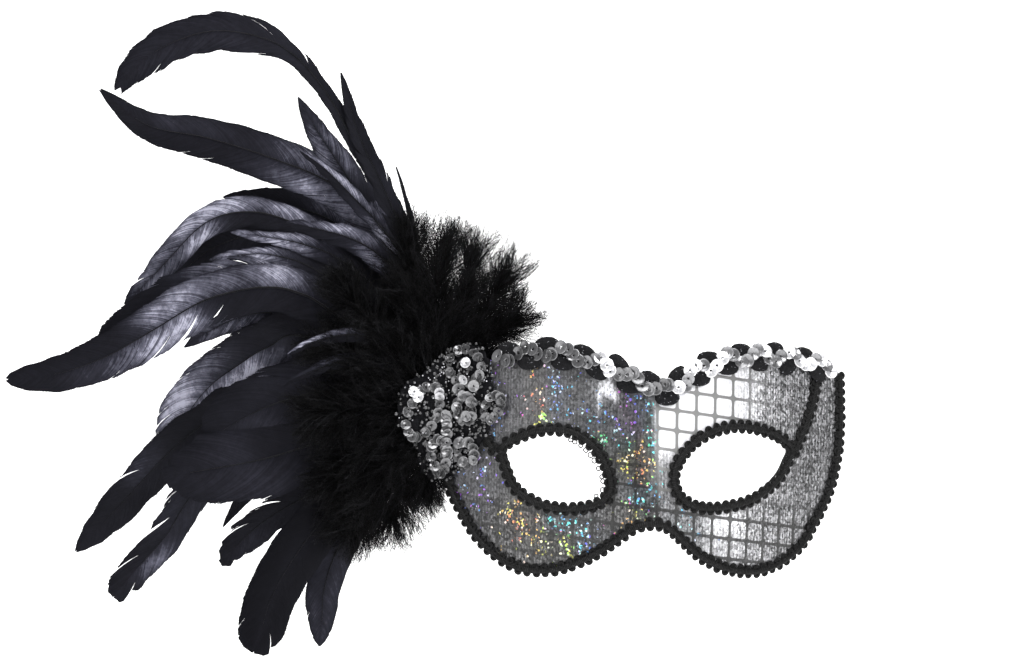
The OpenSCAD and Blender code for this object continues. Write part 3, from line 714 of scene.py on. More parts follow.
# glitter contrast, kept low under the painted white reflection
grain = 0.62 + 0.55 * temple - 0.58 * white_reflection * (1 - flank_shade) * (1 - low)
grain += 0.25 * low * (1 - far) - 0.15 * low * far * (1 - temple)
grain += 0.50 * low * (1 - right)
grain = np.clip(grain, 0.02, 1.3)
amount = np.array([blob(flat, *g[:4]) * g[5] for g in GLINTS])
angle = np.array([g[4] * TAU for g in GLINTS])[:, None]
hue = np.arctan2((amount**2 * np.sin(angle)).sum(0), (amount**2 * np.cos(angle)).sum(0))
glint = np.clip(amount.sum(0) * 0.42, 0, 0.75) + 0.03 * (1 - right)
grid_on = np.clip(0.20 + 0.9 * right - 0.75 * temple * step(z, -20, 3)
                  + 0.55 * low * (1 - right), 0, 1)
grid_on = np.clip(grid_on + blob(flat, -8, -8, 12, 16, 0.8), 0, 1)
# the grid's lines are lighter inside the painted white reflection
line_lum = 0.012 + 0.158 * white_reflection * (1 - low)
cloth = make("foil_cover", v, q, uv={
    "cloth": cloth_uv, "tone": np.stack([tone_and_reflection, grain], -1),
    "hue": np.stack([hue / TAU, glint], -1),
    "grid": np.stack([grid_on, line_lum], -1),
    "OFBake": np.stack([(x + 87) / 180, (z + 47) / 98], -1)}, mats=[M_FOIL.m])
weld(cloth, 1e-6)
done(cloth, "foil_cloth", "fabric_cover")


# ---------------------------------------------------------------- gimp braid
# turns of thread along the wound band, and the steps it is drawn in
RIB_PITCH, FINE = 0.72, 0.20


def torus(o, d, s, u, big, small, flat=0.75, nb=14, ns=7):
    """A ring of cord lying on the surface: o its centre, u its axis."""
    a, b = around(nb), around(ns)
    rad = np.cos(a)[:, None] * d + np.sin(a)[:, None] * s
    v = (o + rad[:, None] * (big + small * np.cos(b))[None, :, None]
         + u * (flat * small * np.sin(b))[None, :, None])
    uv = np.stack(np.broadcast_arrays((a / TAU * 15)[:, None], b[None]), -1)
    return v.reshape(-1, 3), grid_quads(nb, ns, True, True), uv.reshape(-1, 2)


def braid(path, closed, seed):
    """Gimp: a ring of cord at each scallop, either side of a wound band."""
    rng = np.random.default_rng(seed)
    heap = Heap()
    total = length_of(on(path, BRAID_BASE))
    n = int(round(total / SCALLOP))
    c = even(path, n)
    c = c[:-1] if closed else c
    d, s, u = frames_at(c, closed)
    for i in range(len(c)):
        for side in (-1, 1):
            off = side * (1.30 + 0.08 * rng.standard_normal())
            o = on(c[i], BRAID_BASE + 0.80)
            o = o + off * s[i] + d[i] * (0.25 * side + 0.12 * rng.standard_normal())
            v, q, uv = torus(o, d[i], s[i], u[i], 0.90 + 0.05 * rng.standard_normal(), 0.90)
            heap.add(v, q, uv=uv)
    # the wound band down the middle, with a rib for each turn of thread
    fine = even(path, int(total / FINE))
    fine = fine[:-1] if closed else fine
    d, s, u = frames_at(fine, closed)
    k = np.arange(len(fine))
    r = (1.28 + 0.10 * np.sin(k * FINE / RIB_PITCH * TAU)
         + 0.08 * np.sin(k * FINE / SCALLOP * TAU))
    v, q = tube(on(fine, BRAID_BASE + 0.85), r, 10, 0.80, u, closed)
    uv = np.stack([np.repeat(k * FINE / RIB_PITCH, 10), np.tile(np.arange(10), len(k))], -1)
    heap.add(v, q, uv=uv)
    return heap


def stray_loops(heap):
    """Loops of thread that stand off the inner edge of the left-hand opening."""
    rng = np.random.default_rng(30)
    inner = even(shifted(EYE_L_PATH, 0.5, True), 110)
    d, s, u = frames_at(inner[:-1], True)
    a = around(24)[:, None]
    for i in (28, 30, 33, 36, 39, 42, 46, 50, 52, 56, 60):
        r = 0.8 + 0.35 * rng.random()
        ring = on(inner[i], BRAID_BASE + 0.5) + np.cos(a) * d[i] * r + np.sin(a) * s[i] * r * 0.9
        v, q = tube(ring, 0.24, 6, 1.0, np.tile(u[i], (24, 1)), True)
        heap.add(v, q)


edge_path = shifted(smooth(RIGHT_SIDE + [LOW_C] + LEFT_SIDE[::-1], 8), 1.0)
temple_right = smooth([[77.5, 38], [76.5, 34], [74.6, 26], [71.5, 18], [68.6, 11.5],
                       [65.4, 5.0]], 8)
temple_left = smooth([[-74, 38], [-73, 35], [-71, 26], [-68, 18], [-65, 12], [-62, 7]], 8)
BRAIDS = [("gimp_edge", "edge_braid", edge_path, False),
          ("gimp_eye_right", "eye_braid_right", shifted(EYE_R_PATH, -BRAID_W / 2, True), True),
          ("gimp_eye_left", "eye_braid_left", shifted(EYE_L_PATH, -BRAID_W / 2, True), True),
          ("gimp_temple_right", "temple_braid_right", temple_right, False),
          ("gimp_temple_left", "temple_braid_left", temple_left, False)]
for seed, (name, node, path, closed) in enumerate(BRAIDS, 1):
    heap = braid(path, closed, seed)
    if node == "eye_braid_left":
        stray_loops(heap)
    done(heap.make(name, [M_GIMP.m]), "gimp", node)


# ---------------------------------------------------------------- top trim
WAVE_L, WAVE_A, WAVE_START, LOBE_L, LOBE_W = 14.5, 2.1, 4.7, 10.6, 6.8
SEQUIN_STEP, LOBE_ROWS, LOBE_SEGS = 2.75, 15, 40
trim_path = smooth(LEFT_TOP[::-1] + RIGHT_TOP[1:], 8)
n_trim = int(round(length_of(trim_path)))
trim_line = even(trim_path, n_trim)[22:]
TRIM_LEN = length_of(trim_line)


def trim_at(d):
    """Points d mm along the trim's middle line."""
    k = np.clip(d / TRIM_LEN * (len(trim_line) - 1), 0, len(trim_line) - 1)
    g = np.arange(len(trim_line))
    return np.stack([np.interp(k, g, trim_line[:, 0]), np.interp(k, g, trim_line[:, 1])], -1)


def trim_side(d):
    t = unit(trim_at(d + 1.5) - trim_at(d - 1.5))
    return np.stack([-t[..., 1], t[..., 0]], -1)


def chain_at(d):
    """Points d mm along the wavy line of the cord and the sequins."""
    w = WAVE_A * np.sin(TAU * (d + WAVE_START) / WAVE_L)
    return trim_at(d) + w[..., None] * trim_side(d)


def heading(p, ahead):
    """The direction on the surface from p towards p + ahead, both (x, z)."""
    return unit(on(p + ahead, 0.0) - on(p, 0.0))


def sequin(heap, o, d, u, lean, r, tone, rng, cup=0.42):
    """A cup sequin: hole, flat floor, faceted rim; two skins 0.07 apart."""
    s = unit(np.cross(u, d))
    lean, skin = math.radians(lean), 0.035
    f = math.cos(lean) * d + math.sin(lean) * u
    w = math.cos(lean) * u - math.sin(lean) * d
    seg = 20
    a = around(seg) + rng.random() * 6
    prof = [(0.16, 0.0), (0.40, 0.0), (0.62, 0.35), (0.86, 0.8), (1.0, 1.0)]
    rows = []
    for lay in (skin, -skin):
        for rad, h in prof:
            wob = 1 + 0.015 * np.cos(10 * a) * (rad > 0.5)
            hh = cup * h * (1 + 0.10 * np.cos(10 * a)) + lay
            rows.append(o + (r * rad * wob * np.cos(a))[:, None] * f
                        + (r * rad * wob * np.sin(a))[:, None] * s + hh[:, None] * w)
    n = len(prof)
    v = np.vstack(rows)
    top = grid_quads(n, seg, True)
    low = grid_quads(n, seg, True)[:, ::-1] + n * seg
    rim = band((n - 1) * seg, (2 * n - 1) * seg, seg)
    hole = band(0, n * seg, seg)[:, [1, 0, 3, 2]]
    uv = np.stack([np.tile(np.repeat([p[0] for p in prof], seg), 2),
                   np.tile(a / TAU, 2 * n)], -1)
    heap.add(v, np.vstack([top, low, rim, hole]), uv=uv, tone=(tone, rng.random()))


rng = np.random.default_rng(11)
heap = Heap()
dd = np.arange(1, TRIM_LEN - 1, 0.5)
c = chain_at(dd)
d, s, u = frames_at(c, False)
v, q = tube(on(c, BRAID_BASE + 0.8), 0.9, 8, 0.8, u)
heap.add(v, q, uv=np.stack([np.repeat(dd / 0.5, 8), np.tile(np.arange(8), len(dd))], -1))
done(heap.make("trim_cord", [M_LOBE.m]), "trim_textile", "top_trim_cord")

heap = Heap()
for k in range(1, int((TRIM_LEN + WAVE_START) / WAVE_L * 2)):
    dk = (k + 0.5) * WAVE_L / 2 - WAVE_START
    up = -1 if k % 2 == 0 else 1
    aside = (2.4 if up > 0 else 3.6) + 0.25 * rng.standard_normal()
    p = trim_at(dk) + up * aside * trim_side(dk)
    n_out = normal_of(sy, p)
    t = heading(p, trim_at(dk + 1) - trim_at(dk))
    sd = unit(np.cross(t, n_out))
    yaw = 0.22 * rng.standard_normal()
    t, sd = t * math.cos(yaw) + sd * math.sin(yaw), sd * math.cos(yaw) - t * math.sin(yaw)
    la, lb = around(LOBE_SEGS), np.linspace(-math.pi / 2, math.pi / 2, LOBE_ROWS)
    cl, sl = np.cos(lb), np.sin(lb)
    ex = np.sign(np.cos(la)) * np.abs(np.cos(la)) ** 0.9
    ez = np.sign(np.sin(la)) * np.abs(np.sin(la)) ** 0.9
    fuzz = 1 + 0.02 * rng.standard_normal((LOBE_ROWS, LOBE_SEGS))
    o = on(p, BRAID_BASE + 1.7)
    v = (o + (LOBE_L / 2 * cl[:, None] * ex * fuzz)[..., None] * t
         + (LOBE_W / 2 * cl[:, None] * ez * fuzz)[..., None] * sd
         + (1.35 * sl[:, None] * fuzz)[..., None] * n_out)
    uv = np.stack(np.broadcast_arrays((cl[:, None] * ex) * 11, lb[:, None] * 2), -1)
    heap.add(v.reshape(-1, 3), grid_quads(LOBE_ROWS, LOBE_SEGS, True), uv=uv.reshape(-1, 2))
done(heap.make("trim_lobes", [M_LOBE.m]), "trim_textile", "top_trim_lobes")

heap = Heap()
for dk in np.arange(1.6, TRIM_LEN - 1.2, SEQUIN_STEP):
    p = chain_at(np.array([dk]))[0] + 0.35 * rng.standard_normal(2)
    t = heading(p, chain_at(np.array([dk + 1.0]))[0] - chain_at(np.array([dk - 1.0]))[0])
    tone = 0.15 + 0.15 * rng.random()
    # a tone of 1.2 paints a sequin white as a painted highlight: those by the top notch, and nearly
    # half of those right of x = 12
    if -20 < p[0] < -14:
        tone = 1.2
    elif p[0] > 12:
        tone = 0.22 + 0.14 * rng.random() if rng.random() > 0.45 else 1.2
    n_out = unit(normal_of(sy, p) + 0.12 * rng.standard_normal(3))
    sequin(heap, on(p, BRAID_BASE + 3.0), t, n_out, 17 + 4 * rng.standard_normal(),
           2.95, tone, rng)
done(heap.make("trim_sequins", [M_SEQ.m]), "sequin", "top_trim_sequins")


# ---------------------------------------------------------------- the sequin motif
NET_RIM = smooth([[-59, 25], [-61.5, 34], [-62, 43], [-67, 50], [-76, 50.5], [-84, 46],
                  [-92, 39], [-101, 33], [-103, 18], [-96, 10], [-93, -3], [-85, -6],
                  [-76, -3], [-69, 5], [-63.5, 14]], 8, True)[:-1]
NET_C, NET_T = np.array([-80.0, 25.0]), 0.4
t = np.linspace(0.04, 1, 22)
rag = 1 + 0.02 * np.sin(np.arange(len(NET_RIM)) * 1.9)
p = NET_C + (NET_RIM - NET_C)[None] * t[:, None, None] * rag[None, :, None] * 0.99
p = p.reshape(-1, 2)
m, s0 = len(NET_RIM), len(p)
q = grid_quads(len(t), m, True)
quads = np.vstack([q, q[:, ::-1] + s0, band(s0 - m, 2 * s0 - m, m)])
tris = np.vstack([fan(2 * s0, 0, m)[:, [0, 2, 1]], fan(2 * s0 + 1, s0, m)])
v = np.vstack([on_motif(p, NET_T), on_motif(p, 0.0), on_motif(NET_C, NET_T),
               on_motif(NET_C, 0.0)])
uv = np.vstack([p, p, NET_C, NET_C])
net = make("motif_backing", v, quads, tris, {"thread": uv}, [M_NET.m])
weld(net, 1e-7)
done(net, "net", "motif_net")

# loops of sequins: centre, half sizes, turn, rise, tone
LOOP_PITCH = 2.6
LOOPS = [(-72, 41.5, 6.8, 7.2, -8, 1.5, 0.24), (-92.2, 22.2, 6.0, 11.5, -25, 1.5, 0.27),
         (-85.5, 3.6, 3.4, 7.0, 6, 3.0, 0.24), (-71.6, 5.2, 3.4, 4.8, 0, 1.5, 0.26),
         (-60.6, 24.5, 2.8, 5.5, -25, 1.5, 0.22), (-70.9, 23.8, 3.2, 5.2, 0, 3.2, 0.22),
         (-80.7, 12.5, 1.2, 8.5, 4, 3.6, 0.30)]


def loop_at(lp, a):
    r = math.radians(lp[4])
    ca, sa = np.cos(a), np.sin(a)
    return np.stack([lp[0] + lp[2] * ca * math.cos(r) - lp[3] * sa * math.sin(r),
                     lp[1] + lp[2] * ca * math.sin(r) + lp[3] * sa * math.cos(r)], -1)


rng = np.random.default_rng(17)
heap = Heap()
for li, lp in enumerate(LOOPS):
    n = int(math.pi * (lp[2] + lp[3]) / LOOP_PITCH)
    for k in range(n):
        a = TAU * k / n + 0.1 * rng.standard_normal()
        p = loop_at(lp, a) + 0.2 * rng.standard_normal(2)
        t2 = loop_at(lp, a + 0.12) - loop_at(lp, a - 0.12)
        n_out = unit(normal_of(my, p, 3.0) + 0.20 * rng.standard_normal(3))
        tone = lp[6] * (0.40 + 0.65 * rng.random())
        # part of this loop is painted brighter, a painted highlight where its sequins catch the
        # light
        if li == 1 and 35 < math.degrees(a) % 360 < 75:
            tone = 0.6
        o = on_motif(p, lp[5] + 0.5 * rng.random())
        sequin(heap, o, unit(np.array([t2[0], 0, t2[1]])), n_out, 20 + 6 * rng.standard_normal(),
               2.3 * (0.96 + 0.10 * rng.random()), tone, rng)
# loose sequins fill the flower's centre and the tops of two petals; those at a tone of 1.0 or 1.2
# are painted highlights, the pair near x = -95 a painted flash
for x, z, tone in ((-71.5, 35.6, 1.0), (-70.5, 42.6, 1.0), (-72, 29, 0.3), (-70.5, 20.5, 0.25),
                   (-74.5, 24, 0.3), (-68.6, 26.5, 0.28), (-73.5, 32, 0.24), (-67.4, 33, 0.3),
                   (-72, 1.5, 0.25), (-73.4, 9.5, 0.25), (-96.2, 30.6, 1.2), (-94.4, 28.2, 1.2)):
    p = np.array([x, z])
    n_out = unit(normal_of(my, p, 3.0) + 0.25 * rng.standard_normal(3))
    o = on_motif(p, 3.4 + 0.6 * rng.random())
    sequin(heap, o, unit(np.array([rng.standard_normal(), 0, rng.standard_normal()])), n_out,
           12, 2.45, tone, rng)
done(heap.make("motif_loops", [M_SEQ.m]), "sequin", "motif_sequins")


def ball(heap, o, r, seg, rings, tone, mat):
    """A bead, a little flatter from front to back."""
    a = around(seg)
    b = np.linspace(-math.pi / 2, math.pi / 2, rings)
    v = np.stack([r * np.cos(b)[:, None] * np.cos(a), r * 0.85 * np.sin(b)[:, None]
                  + 0 * a[None], r * np.cos(b)[:, None] * np.sin(a)], -1)
    heap.add(v.reshape(-1, 3) + o, grid_quads(rings, seg, True), tone=tone, mat=mat)


heap = Heap()
BEADS_IN_LOOP, BEADS_ON_NET, SEEDS = 9, 430, 90
for lp in LOOPS:
    for k in range(BEADS_IN_LOOP):
        f = 0.10 + 0.36 * rng.random()
        inner_loop = (lp[0], lp[1], lp[2] * f, lp[3] * f, lp[4])
        p = loop_at(inner_loop, rng.random() * TAU)
        o = on_motif(p, 1.0 + 0.8 * rng.random())
        ball(heap, o, 0.65 + 0.25 * rng.random(), 12, 7, (0.5, rng.random()), 1)
for k in range(BEADS_ON_NET):
    i = rng.integers(len(NET_RIM))
    p = NET_C + (NET_RIM[i] - NET_C) * math.sqrt(rng.random()) * 1.03
    o = on_motif(p, 0.6 + 0.3 * rng.random())
    ball(heap, o, 0.60 + 0.30 * rng.random(), 10, 6, (0.5, rng.random()), 1)
for k in range(SEEDS):
    i = rng.integers(len(NET_RIM))
    p = NET_C + (NET_RIM[i] - NET_C) * math.sqrt(rng.random())
    ball(heap, on_motif(p, 1.5), 0.34, 8, 5, (0.5, rng.random()), 0)
done(heap.make("motif_bead_cluster", [M_BEAD.m, M_JET.m]), "bead", "motif_beads")


# ---------------------------------------------------------------- coque feathers
PLUME_BACK = 6.0
QUILL_T = 1.6
# outlines: places along the feather from root to tip, and the half width at each
TIPS = {"sharp": ([0.0, 0.08, 0.30, 0.60, 0.78, 0.90, 0.97, 1.0],
                  [0.10, 0.32, 0.80, 1.0, 0.84, 0.52, 0.22, 0.03]),
        "blade": ([0.0, 0.08, 0.30, 0.60, 0.78, 0.90, 0.96, 0.99, 1.0],
                  [0.10, 0.35, 0.88, 1.0, 0.86, 0.66, 0.46, 0.22, 0.03]),
        "leaf": ([0.0, 0.08, 0.30, 0.65, 0.85, 0.94, 0.98, 1.0],
                 [0.10, 0.35, 0.88, 1.0, 0.88, 0.58, 0.28, 0.03]),
        "round": ([0.0, 0.08, 0.30, 0.65, 0.90, 0.96, 0.99, 1.0],
                  [0.10, 0.35, 0.85, 1.0, 0.94, 0.74, 0.42, 0.05]),
        "club": ([0.0, 0.08, 0.30, 0.58, 0.66, 0.72, 0.80, 0.90, 0.96, 1.0],
                 [0.10, 0.28, 0.38, 0.38, 0.54, 0.92, 1.0, 0.92, 0.66, 0.20]),
        "knob": ([0.0, 0.08, 0.30, 0.65, 0.78, 0.90, 0.93, 0.97, 0.99, 1.0],
                 [0.10, 0.35, 0.85, 1.0, 0.95, 0.72, 0.52, 0.60, 0.42, 0.05])}
BARB_PITCH = 0.40
# steps along a quill; it shows for this many of them and is too fine beyond
QUILL_STEPS, STEM_STEPS = 120, 109


def along_path(t, arr):
    """Values of arr, one row a step of a feather's quill, at places t from 0 to 1."""
    t = np.clip(np.asarray(t), 0, 1)
    g = np.linspace(0, 1, len(arr))
    return np.stack([np.interp(t, g, arr[:, k]) for k in range(3)], -1)


def quill_frame(c):
    """Along, side and out directions of a quill."""
    d = tangents(c)
    s = unit(np.cross(d, [0.15, -1, 0.1]))
    return d, s, np.cross(s, d)


def each(a, b, copies=2):
    """A pair of values for each vertex: two for a step of a strip, three for a hair."""
    return np.repeat(np.stack(np.broadcast_arrays(a, b), -1).reshape(-1, 2), copies, axis=0)


def ribbons(path, across, half_width, lift):
    """Thin strips along paths (n, seg + 1, 3): vertices and quads."""
    n, rows = path.shape[:2]
    e0 = path - across * half_width[..., None]
    e1 = path + across * half_width[..., None] + lift
    v = np.stack([e0, e1], 2).reshape(-1, 3)
    base = (np.arange(n) * rows * 2)[:, None]
    k = np.arange(rows - 1)[None]
    q = np.stack([base + 2 * k, base + 2 * k + 1, base + 2 * k + 3, base + 2 * k + 2], -1)
    return v, q.reshape(-1, 4)


def coque(node, pts, width, painted_sheen, seed, splits, tip, fray, sweep):
    """A feather: a tapered quill and, on each side, hundreds of barbs laid edge on edge.

    pts run tip to root, as in the CAD. painted_sheen lists bands of painted highlight as (place,
    reach, side, amount) with root 0 and tip 1, side 1 the outer vane, -1 the inner and 0 both.
    splits lists (place, side, gap in mm), where the barbs part. sweep is how far a barb runs up
    the quill for each mm it stands off it.
    """
    rng = np.random.default_rng(seed)
    c = even(smooth(np.array(pts, float)[::-1] + [0, PLUME_BACK, 0], 8), QUILL_STEPS)
    total = length_of(c)
    d, s, u = quill_frame(c)

    def spine(t):
        return along_path(t, c) + np.maximum(t - 1, 0)[..., None] * total * d[-1]

    heap = Heap()
    n, seg = int(total / BARB_PITCH), 6
    sv = np.linspace(0, 1, seg + 1)
    for side in (-1, 1):
        t0 = 0.05 + 0.94 * (np.arange(n) + 0.5 * rng.random(n)) / n
        # where each barb ends: barbs near the tip run forward and close it
        end = np.linspace(0, 1, 400)
        starts = end - (sweep * width / 2 * np.interp(end, *TIPS[tip]) + 1.2) / total
        end = np.interp(t0, np.maximum.accumulate(starts), end)
        half = width / 2 * np.interp(end, *TIPS[tip])
        wave = sum(np.sin(t0 * total / w + 6.3 * rng.random()) for w in (2.1, 3.7, 6.1))
        length = half * (1 + fray * wave + 0.6 * fray * rng.standard_normal(n))
        # small partings everywhere along the edge, and a few real splits
        part = np.zeros(n)
        small = [(t, side, 0.5 + 1.0 * rng.random()) for t in
                 0.15 + 0.77 * rng.random(int(total / 16))]
        for place, where, gap in list(splits) + small:
            if where == side:
                off = (t0 - place) * total
                part += np.sign(off) * gap / 2 * np.exp(-np.abs(off) / (2.5 * gap + 1.5))
        part *= np.clip((0.985 - t0) / 0.06, 0, 1)
        fwd = np.maximum((end - t0) * total, 0.8)
        tt = t0[:, None] + (fwd[:, None] * sv ** 1.2 + part[:, None] * sv ** 1.6) / total
        lat = length[:, None] * (1 - (1 - sv) ** 1.4)
        cup = -0.20 * half[:, None] * sv ** 2 + 0.05 * rng.standard_normal((n, 1)) * sv
        cup += 0.10 * part[:, None] * sv
        path = (spine(tt) + side * lat[..., None] * along_path(tt, s)
                + cup[..., None] * along_path(tt, u))
        wide = np.tile(0.5 * BARB_PITCH * (1.9 - 1.1 * sv ** 3), (n, 1))
        across = unit(np.cross(unit(np.gradient(path, axis=1)), along_path(tt, u)))
        v, q = ribbons(path, across, wide, 0.05 * along_path(tt, u))
        # painted sheen: a faint base and the bands listed for the feather, strongest midway along
        # each barb
        sheen_level = np.full((n, seg + 1), 0.07)
        for place, reach, where, amount in painted_sheen:
            if where in (0, side):
                near = np.exp(-(((tt - place) / reach) ** 2))
                sheen_level = sheen_level + amount * near * (0.25 + 0.75 * np.sin(0.35 + 2.5 * sv))
        uv = np.tile([[0.0, 0.0], [1.0, 0.0]], (n * (seg + 1), 1))
        bake = each(np.clip(tt / 1.12, 0.002, 0.998), 0.5 + side * (0.02 + 0.46 * sv))
        bake[1::2, 0] += 0.5 / n
        heap.add(v, q, uv=uv, tone=each(np.clip(sheen_level, 0, 1), rng.random((n, 1))), bake=bake)
    stem = c[:STEM_STEPS]
    r = np.interp(np.linspace(0, 1, len(stem)), [0, 0.1, 0.5, 1],
                  [QUILL_T / 2, QUILL_T / 2.3, 0.36, 0.10])
    v, q = tube(stem + 0.12 * u[:STEM_STEPS], r, 8, 1.0, u[:STEM_STEPS])
    row = np.linspace(0.01, 0.99, len(stem))[:, None]
    heap.add(v, q, bake=each(row, np.linspace(0.482, 0.518, 8), 1), mat=1)
    ob = heap.make(node.replace("coque_", "feather_"), [M_VANE.m, M_QUILL.m])
    return done(ob, "coque", node)


